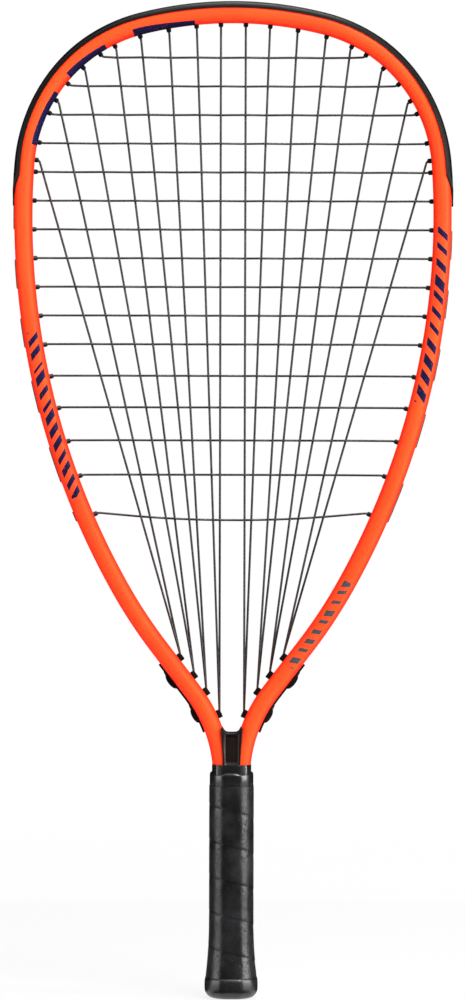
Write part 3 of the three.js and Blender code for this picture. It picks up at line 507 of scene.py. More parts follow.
# Dark and pale colour, roughness, size and depth of the grain in mm, share of scuffs, gloss
MOULDED_LOOKS = {
    "guard_plastic": ((0.004, 0.0033, 0.0035), (0.05, 0.046, 0.046), 0.36, 0.6, 0.02, 0.25, 0.1),
    "strip_plastic": ((0.006, 0.0045, 0.0045), (0.05, 0.045, 0.045), 0.36, 0.5, 0.02, 0.25, 0.3),
    "yoke_plastic": ((0.009, 0.0045, 0.004), (0.05, 0.04, 0.038), 0.36, 0.5, 0.02, 0.3, 0.4),
    "band_rubber": ((0.0092, 0.0094, 0.0096), (0.05, 0.052, 0.05), 0.24, 0.7, 0.03, 0.3, 0.75),
    "cap_rubber": ((0.008, 0.008, 0.0084), (0.06, 0.06, 0.062), 0.34, 0.6, 0.04, 0.3, 0.8),
    "shell_foam": ((0.06, 0.06, 0.063), (0.12, 0.12, 0.12), 0.85, 1.1, 0.25, 0.3, 0.3),
    "plug_foam": ((0.25, 0.245, 0.23), (0.4, 0.39, 0.37), 0.9, 1.4, 0.4, 0.3, 0.3),
}


def make_moulded(name, dark, pale, roughness, grain_mm, grain_depth_mm, scuff_share, gloss):
    material, tree, shader = start_material(name)
    place = object_place(tree)
    clouds = fade(tree, speckle(tree, place, CLOUD_SIZE), 0.32, 0.68)
    lifted = (*(CLOUD_LIFT * part for part in dark), 1)
    tone = blend_colours(tree, clouds, (*dark, 1), lifted)
    scuffs = fade(tree, speckle(tree, place, SCUFF_SIZE, 5, 0.7), 0.56, 0.72)
    patches = fade(tree, speckle(tree, place, SCUFFED_PATCH, 2), 0.45, 0.7)
    worn = maths(tree, "MULTIPLY", maths(tree, "MULTIPLY", scuffs, patches), scuff_share)
    rough = fade(tree, clouds, 0.0, 1.0, roughness - 0.02, roughness + 0.03)
    grain = raise_surface(tree, speckle(tree, place, grain_mm * MM, 2), grain_depth_mm * MM, 0.7)
    flow = speckle(tree, place, FLOW_SIZE, 1)
    set_inputs(tree, shader, {
        "Base Color": blend_colours(tree, worn, tone, (*pale, 1)),
        "Roughness": maths(tree, "ADD", rough, maths(tree, "MULTIPLY", worn, SCUFF_ROUGHENING)),
        "Normal": raise_surface(tree, flow, FLOW_DEPTH, 0.4, grain),
        "Specular IOR Level": gloss,
    })
    return material


def paint_flank_highlight(material):
    """A painted highlight: a paler line along the guard's flank. The map tells how far out it lies."""
    tree = material.node_tree
    colour = tree.nodes["Principled BSDF"].inputs["Base Color"]
    black = colour.links[0].from_socket
    _, out = map_place(tree)
    highlight_line = blend_colours(tree, between(tree, out, *HIGHLIGHT_LINE_BAND), black, HIGHLIGHT_LINE_COLOUR)
    # The paler line is a painted highlight along the flank
    tree.links.new(highlight_line, colour)


looks = {name: make_moulded(name, *recipe) for name, recipe in MOULDED_LOOKS.items()}
looks["frame_paint"] = make_frame_paint()
paint_flank_highlight(looks["guard_plastic"])
print("materials:", sorted(looks))

# %% [markdown]
# String and grip. The string is twisted nylon: a smooth coat over fine wound filaments. The grip is tacky
# rubber with a worn bloom, pebbles and dents. Its map runs along the wound strip and across it from the
# upper seam, so two rows of pinholes can follow each seam.

# %% String and grip
STRING_TONE_SIZE = 9 * MM
FILAMENT_PITCH = 2.2 * MM
FILAMENT_DEPTH = 0.01 * MM
SEAM_PITCH = 19.9 * MM
PINHOLE_PITCH = 8.6 * MM
PINHOLE_RADIUS = 0.5 * MM
PINHOLE_DEPTH = 0.15 * MM
PINHOLE_ROWS = (3.2 * MM, 5.6 * MM)
# Painted shade: the dark fill of the pinholes stands in for the shade inside them
PINHOLE_SHADE_BLACK = (0.004, 0.004, 0.004, 1)
BLOOM_SIZE = 15 * MM
# Size and depth of each layer of the rubber's surface in mm, the noise's detail and the bump's strength
RUBBER_LAYERS = ((0.55, 0.05, 3, 0.5), (1.8, 0.16, 2, 0.8), (6, 0.35, 1, 0.45))


def make_string_nylon():
    material, tree, shader = start_material("string_nylon")
    place = object_place(tree)
    tone = fade(tree, speckle(tree, place, STRING_TONE_SIZE), 0.35, 0.65)
    filaments = add_node(
        tree, "ShaderNodeTexWave", {"Vector": place, "Scale": 1 / FILAMENT_PITCH, "Distortion": 1.5},
        bands_direction="DIAGONAL",
    )
    set_inputs(tree, shader, {
        "Base Color": blend_colours(tree, tone, (0.018, 0.018, 0.019, 1), (0.042, 0.042, 0.044, 1)),
        "Normal": raise_surface(tree, filaments.outputs["Fac"], FILAMENT_DEPTH, 0.15),
        "Roughness": 0.42, "Coat Weight": 0.15, "Coat Roughness": 0.25,
    })
    return material


def pinhole_row(tree, along, across, row, height):
    """1 in the holes of one row; every second row is shifted by half the pitch."""
    shifted = maths(tree, "ADD", along, row * PINHOLE_PITCH / 2)
    offset = maths(tree, "SUBTRACT", maths(tree, "MODULO", shifted, PINHOLE_PITCH), PINHOLE_PITCH / 2)
    lift = maths(tree, "SUBTRACT", across, height)
    square = maths(tree, "ADD", maths(tree, "POWER", offset, 2), maths(tree, "POWER", lift, 2))
    return fade(tree, maths(tree, "SQRT", square), PINHOLE_RADIUS * 0.6, PINHOLE_RADIUS, 1.0, 0.0)


def make_grip_rubber():
    material, tree, shader = start_material("grip_rubber")
    place = object_place(tree)
    along, across = map_place(tree)
    bloom = fade(tree, speckle(tree, place, BLOOM_SIZE, 2, 0.5), 0.34, 0.68)
    colour = blend_colours(tree, bloom, (0.008, 0.008, 0.009, 1), (0.024, 0.024, 0.026, 1))
    rows = [pinhole_row(tree, along, across, row, height) for row, height in enumerate(PINHOLE_ROWS)]
    holes = any_of(tree, rows)
    rough = fade(tree, bloom, 0.0, 1.0, 0.28, 0.34)
    surface = None
    for size, depth, detail, strength in RUBBER_LAYERS:
        surface = raise_surface(tree, speckle(tree, place, size * MM, detail), depth * MM, strength, surface)
    sunk = maths(tree, "SUBTRACT", 1.0, holes)
    set_inputs(tree, shader, {
        # The pinholes are painted darker than the rubber: painted shade inside them
        "Base Color": blend_colours(tree, holes, colour, PINHOLE_SHADE_BLACK),
        "Roughness": maths(tree, "MAXIMUM", rough, maths(tree, "MULTIPLY", holes, 0.95)),
        "Normal": raise_surface(tree, sunk, PINHOLE_DEPTH, 0.4, surface),
        "Specular IOR Level": 0.55,
    })
    return material


looks["string_nylon"] = make_string_nylon()
looks["grip_rubber"] = make_grip_rubber()
print("all materials:", len(looks))

# %% [markdown]
# Shared modelling helpers. A section is drawn as a face whose corners a vertex bevel rounds. A sweep
# extrudes that loop of edges from station to station. Until it is done, its points stand at (run, out,
# depth), which gives both the piece's map and their place on the hoop. Booleans cut openings, and one call
# makes a piece final.

# %% Sections, sweeps and pieces
SIDES = (("left", -1), ("right", 1))
SWEEP_STEP = 3 * MM
ROUNDING_STEPS = 3
SHARP_DEGREES = 34
LEVEL_TOLERANCE = 0.01 * MM


def points_in(geom):
    return [item for item in geom if isinstance(item, bmesh.types.BMVert)]


def edges_in(geom):
    return [item for item in geom if isinstance(item, bmesh.types.BMEdge)]


def added_since(bm, before):
    return [point for point in bm.verts if point not in before]


def bevel(bm, geom, offset, steps, affect="EDGES"):
    bmesh.ops.bevel(
        bm, geom=geom, offset=offset, offset_type="OFFSET", segments=steps, profile=0.5,
        affect=affect, material=-1, clamp_overlap=True,
    )


def bevel_sharp(bm, degrees, offset, steps):
    """Round the edges at which the surface turns by more than an angle."""
    bmesh.ops.recalc_face_normals(bm, faces=bm.faces)
    bevel(bm, [edge for edge in bm.edges if edge.calc_face_angle(0) > math.radians(degrees)], offset, steps)


def quarter_of(shares, half_width, half_depth):
    return [(x * half_width, y * half_depth) for x, y in shares]


def mirror_first(half):
    """The points and their mirror image at the negative first coordinate, in one round."""
    return list(half) + [(-one, other) for one, other in reversed(half)]


def mirror_second(half):
    """The points and their mirror image at the negative second coordinate, in one round."""
    return list(half) + [(one, -other) for one, other in reversed(half)]


def round_outline(corners, radii, steps=ROUNDING_STEPS):
    """The corner points with each corner rounded by its own radius."""
    bm = bmesh.new()
    points = [bm.verts.new((one, other, 0)) for one, other in corners]
    bm.faces.new(points)
    for radius in sorted(set(radii) - {0}):
        bevel(bm, [point for point, own in zip(points, radii) if own == radius], radius, steps, "VERTICES")
    bm.faces.ensure_lookup_table()
    outline = [(point.co.x, point.co.y) for point in bm.faces[0].verts]
    bm.free()
    return outline


def round_section(half, radii_mm):
    """A whole section from its half at positive depth and that half's radii."""
    radii = [radius * MM for radius in radii_mm]
    return round_outline(mirror_second(half), radii + radii[::-1])


def even_steps(first, last, step=SWEEP_STEP):
    count = max(1, math.ceil(abs(last - first) / step))
    return [first + (last - first) * number / count for number in range(count + 1)]


def closed_loop(bm, places):
    points = [bm.verts.new(place) for place in places]
    return [bm.edges.new(pair) for pair in zip(points, points[1:] + points[:1])]


def extrude_loop(bm, edges):
    """Join a copy of these edges to them by faces, and give back its edges and its points."""
    made = bmesh.ops.extrude_edge_only(bm, edges=edges)["geom"]
    return edges_in(made), points_in(made)


def close_ends(bm):
    bmesh.ops.holes_fill(bm, edges=[edge for edge in bm.edges if edge.is_boundary], sides=0)


def sweep_along_hoop(outline, runs, reshape=None):
    """Extrude the outline from run to run along the hoop, and close both ends."""
    bm = bmesh.new()
    loop = closed_loop(bm, [(runs[0], out, depth) for out, depth in outline])
    for run in runs[1:]:
        loop, points = extrude_loop(bm, loop)
        for point in points:
            point.co.x = run
    close_ends(bm)
    sweep_map = bm.loops.layers.uv.new("hoop_map")
    for face in bm.faces:
        for corner in face.loops:
            corner[sweep_map].uv = corner.vert.co[:2]
    for point in bm.verts:
        run, out, depth = point.co
        if reshape:
            out, depth = reshape(run, out, depth)
        point.co = frame_point(run, out, depth)
    return bm


def link_piece(name, bm, slot, sharp_degrees=SHARP_DEGREES):
    bmesh.ops.recalc_face_normals(bm, faces=bm.faces)
    piece = link_object(name, take_mesh(name, bm), looks[slot])
    piece.data.shade_smooth()
    piece.data.set_sharp_from_angle(angle=math.radians(sharp_degrees))
    return piece


def cut_openings(piece, slot, cutters):
    """Take the cutters' shape, one bmesh of closed bodies, out of the piece."""
    tool = link_piece("opening_cutter", cutters, slot)
    cut = piece.modifiers.new("openings", "BOOLEAN")
    cut.operation = "DIFFERENCE"
    cut.solver = "EXACT"
    cut.object = tool
    shaped = piece.evaluated_get(bpy.context.evaluated_depsgraph_get())
    mesh = bpy.data.meshes.new_from_object(shaped)
    piece.modifiers.clear()
    piece.data = mesh
    bpy.data.objects.remove(tool)


def finish_piece(piece, slot, *nodes):
    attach(piece, "root")
    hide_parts(*nodes)
    print(piece.name, "faces:", len(piece.data.polygons) if piece.type == "MESH" else "curve")


def make_piece(name, bm, slot, node, cutters=None, sharp_degrees=SHARP_DEGREES):
    piece = link_piece(name, bm, slot, sharp_degrees)
    if cutters is not None:
        cut_openings(piece, slot, cutters)
    finish_piece(piece, slot, node)


print("stations on 100 mm of tube:", len(even_steps(0.0, 100 * MM)))

# %% [markdown]
# Where the strings pass the tube. The crosses come level at even distances below the crown, a little wider
# apart near the throat. The mains leave the crown at shares of its length and meet in pairs at the throat
# ports. The same numbers as in the CAD source place the barrels, the ports and the strings.

# %% String places
FIRST_CROSS_DISTANCE = 19.7 * MM
CROSS_PITCH = 16.1 * MM
CROSS_PLACE_SHARES = (0, 1, 2, 3, 4, 5, 6, 7, 8, 9, 10, 11.1, 12.2, 13.35, 14.55, 15.87)
LAST_CROSS_SAG = 4.2 * MM
GUARD_CROSSES = 6
MAIN_PLACE_SHARES = (0.045, 0.133, 0.234, 0.34, 0.442, 0.587, 0.747, 0.985)
LOWEST_PORT_DISTANCE = 34.2 * MM
PORT_PITCH = 12.5 * MM
PORT_PLACE_SHARES = (0, 1.08, 1.98, 2.99)
SEARCH_STEPS = 40
GUARD_PAST_HOLE = 3 * MM
SIDE_STRIP_PAST_HOLE = 4 * MM
THROAT_STRIP_OVER_PORTS = 3.9 * MM
THROAT_STRIP_UNDER_PORTS = 6.2 * MM


def run_at_height(height, out):
    low, high = 0.0, throat_foot
    for _ in range(SEARCH_STEPS):
        middle = (low + high) / 2
        if frame_point(middle, out).z > height:
            low = middle
        else:
            high = middle
    return low


def both_sides(runs):
    return [side * run for _, side in SIDES for run in runs]


crown_inside = frame_point(0, -TUBE_HALF_WIDTH).z
cross_levels = [crown_inside - FIRST_CROSS_DISTANCE - share * CROSS_PITCH for share in CROSS_PLACE_SHARES]
cross_runs = [run_at_height(level, BARREL_TIP - STRING_EXIT) for level in cross_levels]
main_runs = [share * shoulder_end for share in MAIN_PLACE_SHARES]
port_runs = [throat_foot - LOWEST_PORT_DISTANCE - share * PORT_PITCH for share in PORT_PLACE_SHARES]
guard_end = cross_runs[GUARD_CROSSES - 1] + GUARD_PAST_HOLE
side_strip_end = cross_runs[-1] + SIDE_STRIP_PAST_HOLE
throat_strip_top = port_runs[-1] - THROAT_STRIP_OVER_PORTS
throat_strip_foot = port_runs[0] + THROAT_STRIP_UNDER_PORTS
print("guard ends at run, mm:", round(guard_end / MM, 1))

# %% [markdown]
# Frame tube. The real one is carbon prepreg pressed in a mould by an air bladder: a rounded box section with
# a flat face, and an outer groove that takes the plastic strips. A curve with a bevel object could sweep it,
# but the groove has to run out above the handle, so the section is extruded station by station and reshaped
# there.

# %% Frame tube
TUBE_QUARTER_SHARES = ((1, 0.45), (0.86, 0.72), (0.4, 1))
TUBE_ROUNDINGS_MM = (0.3, 0.35, 0.45, 1.1, 1.5, 1.5, 1.1, 1.6)
GROOVE_RUN_OUT = 3 * MM
PORT_LENGTH = 4.5 * MM
PORT_DEPTH = 6.2 * MM
PORT_ROUNDING = 0.6 * MM
PORT_TIP = -TUBE_HALF_WIDTH - 2.5 * MM
CUT_REACH = 9 * MM
BOX_ROUNDING_STEPS = 2
tube_quarter = quarter_of(TUBE_QUARTER_SHARES, TUBE_HALF_WIDTH, TUBE_HALF_DEPTH)


def tube_outline():
    rim = [(GROOVE_FLOOR, GROOVE_HALF_WIDTH), (TUBE_HALF_WIDTH, GROOVE_HALF_WIDTH)]
    return round_section(rim + mirror_first(tube_quarter), TUBE_ROUNDINGS_MM)


def run_out_groove(run, out, depth):
    """Raise the groove's floor to the tube's face, softly, past the end of the throat strip."""
    past_end = (abs(run) - throat_strip_foot) / GROOVE_RUN_OUT
    if abs(depth) <= GROOVE_HALF_WIDTH + LEVEL_TOLERANCE and out > 0 and past_end > 0:
        share = min(1, past_end)
        out += (TUBE_HALF_WIDTH - out) * share * share * (3 - 2 * share)
    return out, depth


def rounded_box(bm, size, matrix, rounding):
    before = set(bm.verts)
    made = bmesh.ops.create_cube(bm, size=1.0)["verts"]
    bmesh.ops.scale(bm, vec=size, verts=made)
    # A dictionary keeps the edges' order, so that each run gives the same mesh
    edges = list(dict.fromkeys(edge for point in made for edge in point.link_edges))
    bevel(bm, edges, rounding, BOX_ROUNDING_STEPS)
    bmesh.ops.transform(bm, matrix=matrix, verts=added_since(bm, before))


def make_frame_tube():
    bm = sweep_along_hoop(tube_outline(), even_steps(-shaft_foot, shaft_foot), run_out_groove)
    ports = bmesh.new()
    for run in both_sides(port_runs):
        size = (PORT_LENGTH + FIT_GAP, PORT_DEPTH + FIT_GAP, 2 * CUT_REACH)
        rounded_box(ports, size, frame_matrix(run), PORT_ROUNDING)
    make_piece("painted_frame_tube", bm, "frame_paint", "frame_tube", ports)


make_frame_tube()

# %% [markdown]
# Grommet barrels. On each strip stand small moulded tubes that line the string holes. Inside the hoop each
# shows as a short collar with a narrower tip. A profile spun round its own axis makes one, and it is then
# set square to the tube at its run.

# %% Grommet barrels
BARREL_RADIUS = 1.35 * MM
BARREL_TIP_RADIUS = 1.16 * MM
BARREL_BORE = 0.8 * MM
BARREL_BORE_DEPTH = 1.6 * MM
BARREL_COLLAR_LENGTH = 1.6 * MM
# How far each rim of the barrel is eased inwards and along it
BARREL_COLLAR_EASE = (0.08 * MM, 0.12 * MM)
BARREL_STEP_EASE = (-0.03 * MM, 0.2 * MM)
BARREL_TIP_EASE = (0.12 * MM, 0.15 * MM)
BARREL_SIDES = 16
BARREL_MERGE_DISTANCE = 0.001 * MM


def add_barrel(bm, run):
    before = set(bm.verts)
    collar = -TUBE_HALF_WIDTH - BARREL_COLLAR_LENGTH
    bore_floor = BARREL_TIP + BARREL_BORE_DEPTH
    profile = (
        (0, STRIP_UNDERSIDE), (BARREL_RADIUS, STRIP_UNDERSIDE), (BARREL_RADIUS, collar),
        (BARREL_RADIUS - BARREL_COLLAR_EASE[0], collar - BARREL_COLLAR_EASE[1]),
        (BARREL_TIP_RADIUS - BARREL_STEP_EASE[0], collar - BARREL_STEP_EASE[1]),
        (BARREL_TIP_RADIUS, BARREL_TIP + BARREL_TIP_EASE[1]),
        (BARREL_TIP_RADIUS - BARREL_TIP_EASE[0], BARREL_TIP), (BARREL_BORE, BARREL_TIP),
        (BARREL_BORE, bore_floor), (0, bore_floor),
    )
    points = [bm.verts.new((radius, 0, height)) for radius, height in profile]
    edges = [bm.edges.new(pair) for pair in zip(points, points[1:])]
    bmesh.ops.spin(
        bm, geom=points + edges, cent=(0, 0, 0), axis=(0, 0, 1), angle=2 * math.pi,
        steps=BARREL_SIDES, use_merge=True, use_duplicate=False,
    )
    bmesh.ops.remove_doubles(bm, verts=added_since(bm, before), dist=BARREL_MERGE_DISTANCE)
    bmesh.ops.transform(bm, matrix=frame_matrix(run), verts=added_since(bm, before))


print("sides of a barrel:", BARREL_SIDES)

# %% [markdown]
# Head guard. A black bumper clips over the crown and the shoulders: two ridges beside the channel in which
# the string loops are safe from the wall, and flanks that wrap the tube's shoulders. It is swept like the
# tube. Its crest is highest at the crown and lowest on the shoulders, where its lips reach further down the
# tube's face. Towards both ends the ridges sink and the flanks slide up the tube's skin, so that the guard
# ends as a narrow tongue in the groove.

# %% Head guard
GUARD_SWEEP_STEP = 1.5 * MM
GUARD_CHANNEL = LOOP_OFFSET + STRING_RADIUS + FIT_GAP
GUARD_CHANNEL_SLOPE = 0.35 * MM
GUARD_SKIN = 1.0 * MM
GUARD_SEAT = 0.05 * MM
GUARD_ROUNDINGS_MM = (0.3, 0.5, 0.9, 1.2, 0.35, 0, 0, 0, 0, 0)
GUARD_RISE = 1.5 * MM
GUARD_END_RISE = 0.95 * MM
GUARD_TAPER = 17 * MM
GUARD_TONGUE = 3 * MM
# The flanks close to the strip's width over the last third of the taper
GUARD_CLOSING_PACE = 3
GUARD_SIDE_DEPTH = tube_quarter[0][1]
CROWN_LIFT = 0.3 * MM
CROWN_LIFT_HALF = 75 * MM
SHOULDER_MIDDLE = 140 * MM
SHOULDER_HALF = 58 * MM
SHOULDER_DROP = 0.7 * MM
LIP_REACH = (-1.15 * MM, 1.4 * MM)
LIP_CROWN_SHARE = 0.45
LIP_SHOULDER_SHARE = 0.85
LIP_ZONE = 3.6 * MM


def guard_outline():
    """The section from the channel over the ridge and the flank to the lip, and back along the tube."""
    _, shoulder, crest = tube_quarter
    lip = ((shoulder[0] + crest[0]) / 2, (shoulder[1] + crest[1]) / 2)
    ridge_top = TUBE_HALF_WIDTH + GUARD_RISE
    tube_face = TUBE_HALF_WIDTH + GUARD_SEAT
    half = [
        (STRIP_TOP, GUARD_CHANNEL), (ridge_top, GUARD_CHANNEL + GUARD_CHANNEL_SLOPE),
        (ridge_top, GUARD_SIDE_DEPTH), (shoulder[0] + GUARD_SKIN, shoulder[1] + GUARD_SKIN),
        (lip[0] + GUARD_SEAT, lip[1] + GUARD_SKIN), (lip[0] + GUARD_SEAT, lip[1] + GUARD_SEAT),
        (shoulder[0] + GUARD_SEAT, shoulder[1] + GUARD_SEAT), (tube_face, GUARD_SIDE_DEPTH),
        (tube_face, STRIP_HALF_WIDTH), (STRIP_UNDERSIDE, STRIP_HALF_WIDTH),
    ]
    return round_section(half, GUARD_ROUNDINGS_MM)


def bell(run, middle, half):
    """1 at the middle on both sides of the crown, falling softly to 0 at half the width."""
    offset = min(1, abs(abs(run) - middle) / half)
    return (1 - offset * offset) ** 2


def tube_skin(depth):
    """How far out the tube's shoulder lies at a depth."""
    depth = min(max(depth, tube_quarter[0][1]), tube_quarter[-1][1])
    for (high, near), (low, far) in zip(tube_quarter, tube_quarter[1:]):
        if depth <= far:
            return high + (low - high) * (depth - near) / (far - near)


def shape_guard(run, out, depth):
    """Set the height of crest and lip along the guard, and let it fade out towards both ends."""
    share = (guard_end - GUARD_TONGUE - abs(run)) / (GUARD_TAPER - GUARD_TONGUE)
    share = min(1, max(0, share))
    shoulder = bell(run, SHOULDER_MIDDLE, SHOULDER_HALF)
    rise = GUARD_RISE + CROWN_LIFT * bell(run, 0, CROWN_LIFT_HALF) - SHOULDER_DROP * shoulder
    rise = GUARD_END_RISE + (rise - GUARD_END_RISE) * share
    if out < LIP_ZONE:
        reach = LIP_CROWN_SHARE + (LIP_SHOULDER_SHARE - LIP_CROWN_SHARE) * shoulder
        out += reach * LIP_REACH[0]
        depth += math.copysign(reach * LIP_REACH[1], depth)
    over = out - TUBE_HALF_WIDTH
    if over > 0:
        out = TUBE_HALF_WIDTH + over * rise / GUARD_RISE
    deep = abs(depth)
    if deep > GUARD_SIDE_DEPTH:
        kept = GUARD_SIDE_DEPTH + (deep - GUARD_SIDE_DEPTH) * share
        out = min(out + tube_skin(kept) - tube_skin(deep), TUBE_HALF_WIDTH + rise)
        deep = kept
    if deep > STRIP_HALF_WIDTH:
        closing = math.sin(math.pi / 2 * min(1, GUARD_CLOSING_PACE * share))
        deep = STRIP_HALF_WIDTH + (deep - STRIP_HALF_WIDTH) * closing
    return out, math.copysign(deep, depth)


def make_head_guard():
    runs = even_steps(-guard_end, guard_end, GUARD_SWEEP_STEP)
    bm = sweep_along_hoop(guard_outline(), runs, shape_guard)
    for run in both_sides(main_runs + cross_runs[:GUARD_CROSSES]):
        add_barrel(bm, run)
    make_piece("crown_guard", bm, "guard_plastic", "head_guard")


make_head_guard()

# %% [markdown]
# Side grommet strips. Below the guard a thin strip lies in the tube's groove on each side, with one barrel
# for each cross. Only its edge and the barrels show, so a swept strip with softened corners is enough.

# %% Side grommet strips
STRIP_ROUNDING = 0.3 * MM


def strip_outline():
    corners = [
        (STRIP_UNDERSIDE, STRIP_HALF_WIDTH), (STRIP_TOP, STRIP_HALF_WIDTH),
        (STRIP_TOP, -STRIP_HALF_WIDTH), (STRIP_UNDERSIDE, -STRIP_HALF_WIDTH),
    ]
    return round_outline(corners, [0, STRIP_ROUNDING, STRIP_ROUNDING, 0])


for word, side in SIDES:
    bm = sweep_along_hoop(strip_outline(), even_steps(side * (guard_end + FIT_GAP), side * side_strip_end))
    for run in cross_runs[GUARD_CROSSES:]:
        add_barrel(bm, side * run)
    make_piece(f"side_barrels_{word}", bm, "strip_plastic", f"side_grommet_strip_{word}")

# %% [markdown]
# Throat strips. On the outside of the throat a strip carries two half-moon saddles. The string comes out of
# one port, lies in the channel between the saddle's cheeks and goes back in at the next port. The cheeks and
# the channel's floor are lines of the same swept section, lifted by half an ellipse at each saddle.

# %% Throat strips
THROAT_SWEEP_STEP = 0.4 * MM
THROAT_CREST = TUBE_HALF_WIDTH + 1.2 * MM
CHANNEL_DEPTH = 0.9 * MM
THROAT_FLOOR = THROAT_CREST - CHANNEL_DEPTH
THROAT_ROUNDINGS_MM = (0.1, 0.25, 0.4, 0)
LOBE_LENGTH = 9.6 * MM
LOBE_SHIFT = 1.5 * MM
LOBE_CREST = TUBE_HALF_WIDTH + 3.1 * MM
CHEEK_OVER_STRING = 0.6 * MM
LOBE_FLOOR = LOBE_CREST - CHEEK_OVER_STRING - 2 * STRING_RADIUS - FIT_GAP
LOBE_CHANNEL = WEAVE_RISE + STRING_RADIUS + FIT_GAP
CHANNEL_SLOPE = 0.1 * MM
CHANNEL_TOLERANCE = 0.05 * MM
FLOOR_TOLERANCE = 0.02 * MM
WINDOW_SIZE = (2.7 * MM, 4.4 * MM, 8 * MM)
WINDOW_ROUNDING = 0.4 * MM
lobe_middles = [(port_runs[number] + port_runs[number + 1]) / 2 + LOBE_SHIFT for number in (0, 2)]


def throat_outline():
    half = [
        (THROAT_FLOOR, LOBE_CHANNEL), (THROAT_CREST, LOBE_CHANNEL + CHANNEL_SLOPE),
        (THROAT_CREST, STRIP_HALF_WIDTH), (STRIP_UNDERSIDE, STRIP_HALF_WIDTH),
    ]
    return round_section(half, THROAT_ROUNDINGS_MM)


def swell_lobes(run, out, depth):
    """Lift the cheeks and the channel's floor at the saddles."""
    nearest = min((2 * (abs(run) - middle) / LOBE_LENGTH for middle in lobe_middles), key=abs)
    swell = math.sqrt(max(0, 1 - nearest * nearest))
    if out > THROAT_FLOOR - FLOOR_TOLERANCE:
        in_channel = abs(depth) <= LOBE_CHANNEL + CHANNEL_TOLERANCE
        out += swell * (LOBE_FLOOR - THROAT_FLOOR if in_channel else LOBE_CREST - THROAT_CREST)
    return out, depth


for word, side in SIDES:
    runs = even_steps(side * throat_strip_top, side * throat_strip_foot, THROAT_SWEEP_STEP)
    bm = sweep_along_hoop(throat_outline(), runs, swell_lobes)
    windows = bmesh.new()
    for run in port_runs:
        place = frame_matrix(side * run) @ Matrix.Translation((0, 0, THROAT_CREST))
        rounded_box(windows, WINDOW_SIZE, place, WINDOW_ROUNDING)
    make_piece(f"throat_saddles_{word}", bm, "strip_plastic", f"throat_strip_{word}", windows)

# %% [markdown]
# Port sleeves. Eight square sleeves line the big holes in the throat, and two mains enter each. The wall on
# the crown's side has a dip between two small horns, and the strings come in over it. Two loops are bridged
# to a square ring, the ring is extruded to a tube, and the tip's middle points on that side are drawn back.

# %% Port sleeves
PORT_WALL = 0.9 * MM
PORT_DIP = 1.5 * MM
PORT_DIP_HALF = 1.6 * MM
SLEEVE_ROUNDING = 0.28 * MM
SLEEVE_ROUNDING_STEPS = 2
SLEEVE_SHARP_DEGREES = 30


def square_loop(bm, half_length, half_depth):
    """A rectangle with two extra points on the side that gets the dip."""
    return closed_loop(bm, [
        (half_length, half_depth, 0), (-half_length, half_depth, 0), (-half_length, PORT_DIP_HALF, 0),
        (-half_length, -PORT_DIP_HALF, 0), (-half_length, -half_depth, 0), (half_length, -half_depth, 0),
    ])


def make_port_sleeve(word, number, run):
    bm = bmesh.new()
    loops = square_loop(bm, PORT_LENGTH / 2, PORT_DEPTH / 2)
    loops += square_loop(bm, PORT_LENGTH / 2 - PORT_WALL, PORT_DEPTH / 2 - PORT_WALL)
    bmesh.ops.bridge_loops(bm, edges=loops)
    bmesh.ops.translate(bm, verts=bm.verts, vec=(0, 0, GROOVE_FLOOR))
    tip = points_in(bmesh.ops.extrude_face_region(bm, geom=bm.faces[:])["geom"])
    bmesh.ops.translate(bm, verts=tip, vec=(0, 0, PORT_TIP - GROOVE_FLOOR))
    dip = [point for point in tip if point.co.x < 0 and abs(point.co.y) < PORT_DIP_HALF + SLEEVE_ROUNDING]
    bmesh.ops.translate(bm, verts=dip, vec=(0, 0, PORT_DIP))
    bevel_sharp(bm, SLEEVE_SHARP_DEGREES, SLEEVE_ROUNDING, SLEEVE_ROUNDING_STEPS)
    # On the left the hoop's run goes up to the crown, so the sleeve is turned about to keep its dip above
    half_turn = Matrix.Rotation(math.pi if run < 0 else 0, 4, "Z")
    bmesh.ops.transform(bm, matrix=frame_matrix(run) @ half_turn, verts=bm.verts)
    make_piece(f"port_liner_{word}_{number}", bm, "strip_plastic", f"port_sleeve_{word}_{number}")


for word, side in SIDES:
    for number, run in enumerate(port_runs, 1):
        make_port_sleeve(word, number, side * run)

# %% [markdown]
# Throat yoke. A dark moulding fills the crotch of the two shafts, with two short horns, a saddle between
# them and a sunken panel on each face. Its outline is drawn as a face with rounded corners, extruded
# through the throat, softened along its edges, and the panels are cut out of it.

# %% Throat yoke
GRIP_TOP_HEIGHT = THROAT_FOOT_HEIGHT + 3.9 * MM
COLLAR_TOP_HEIGHT = GRIP_TOP_HEIGHT + 3.7 * MM
COLLAR_TOP = COLLAR_TOP_HEIGHT - BUTT_TO_ORIGIN
YOKE_FOOT = THROAT_FOOT_HEIGHT - 5.5 * MM - BUTT_TO_ORIGIN
YOKE_SADDLE = THROAT_FOOT_HEIGHT + 25.2 * MM - BUTT_TO_ORIGIN
YOKE_HORN_TOP = YOKE_SADDLE + 3.1 * MM
YOKE_HORN_TIP_WIDTH = 1.0 * MM
YOKE_HORN_FOOT_WIDTH = 2.6 * MM
YOKE_FOOT_HALF = 4.8 * MM
YOKE_TOP_HALF = 6.2 * MM
YOKE_HALF_DEPTH = 11.3 * MM
YOKE_ROUNDINGS_MM = (0, 4, 0.4, 0.5, 1.6)
YOKE_CORNER_STEPS = 5
YOKE_RIM = 0.6 * MM
YOKE_RIM_STEPS = 3
YOKE_RIM_DEGREES = 60
PANEL_MARGIN = 1.4 * MM
PANEL_RECESS = 0.5 * MM
PANEL_ROUNDING = 0.8 * MM


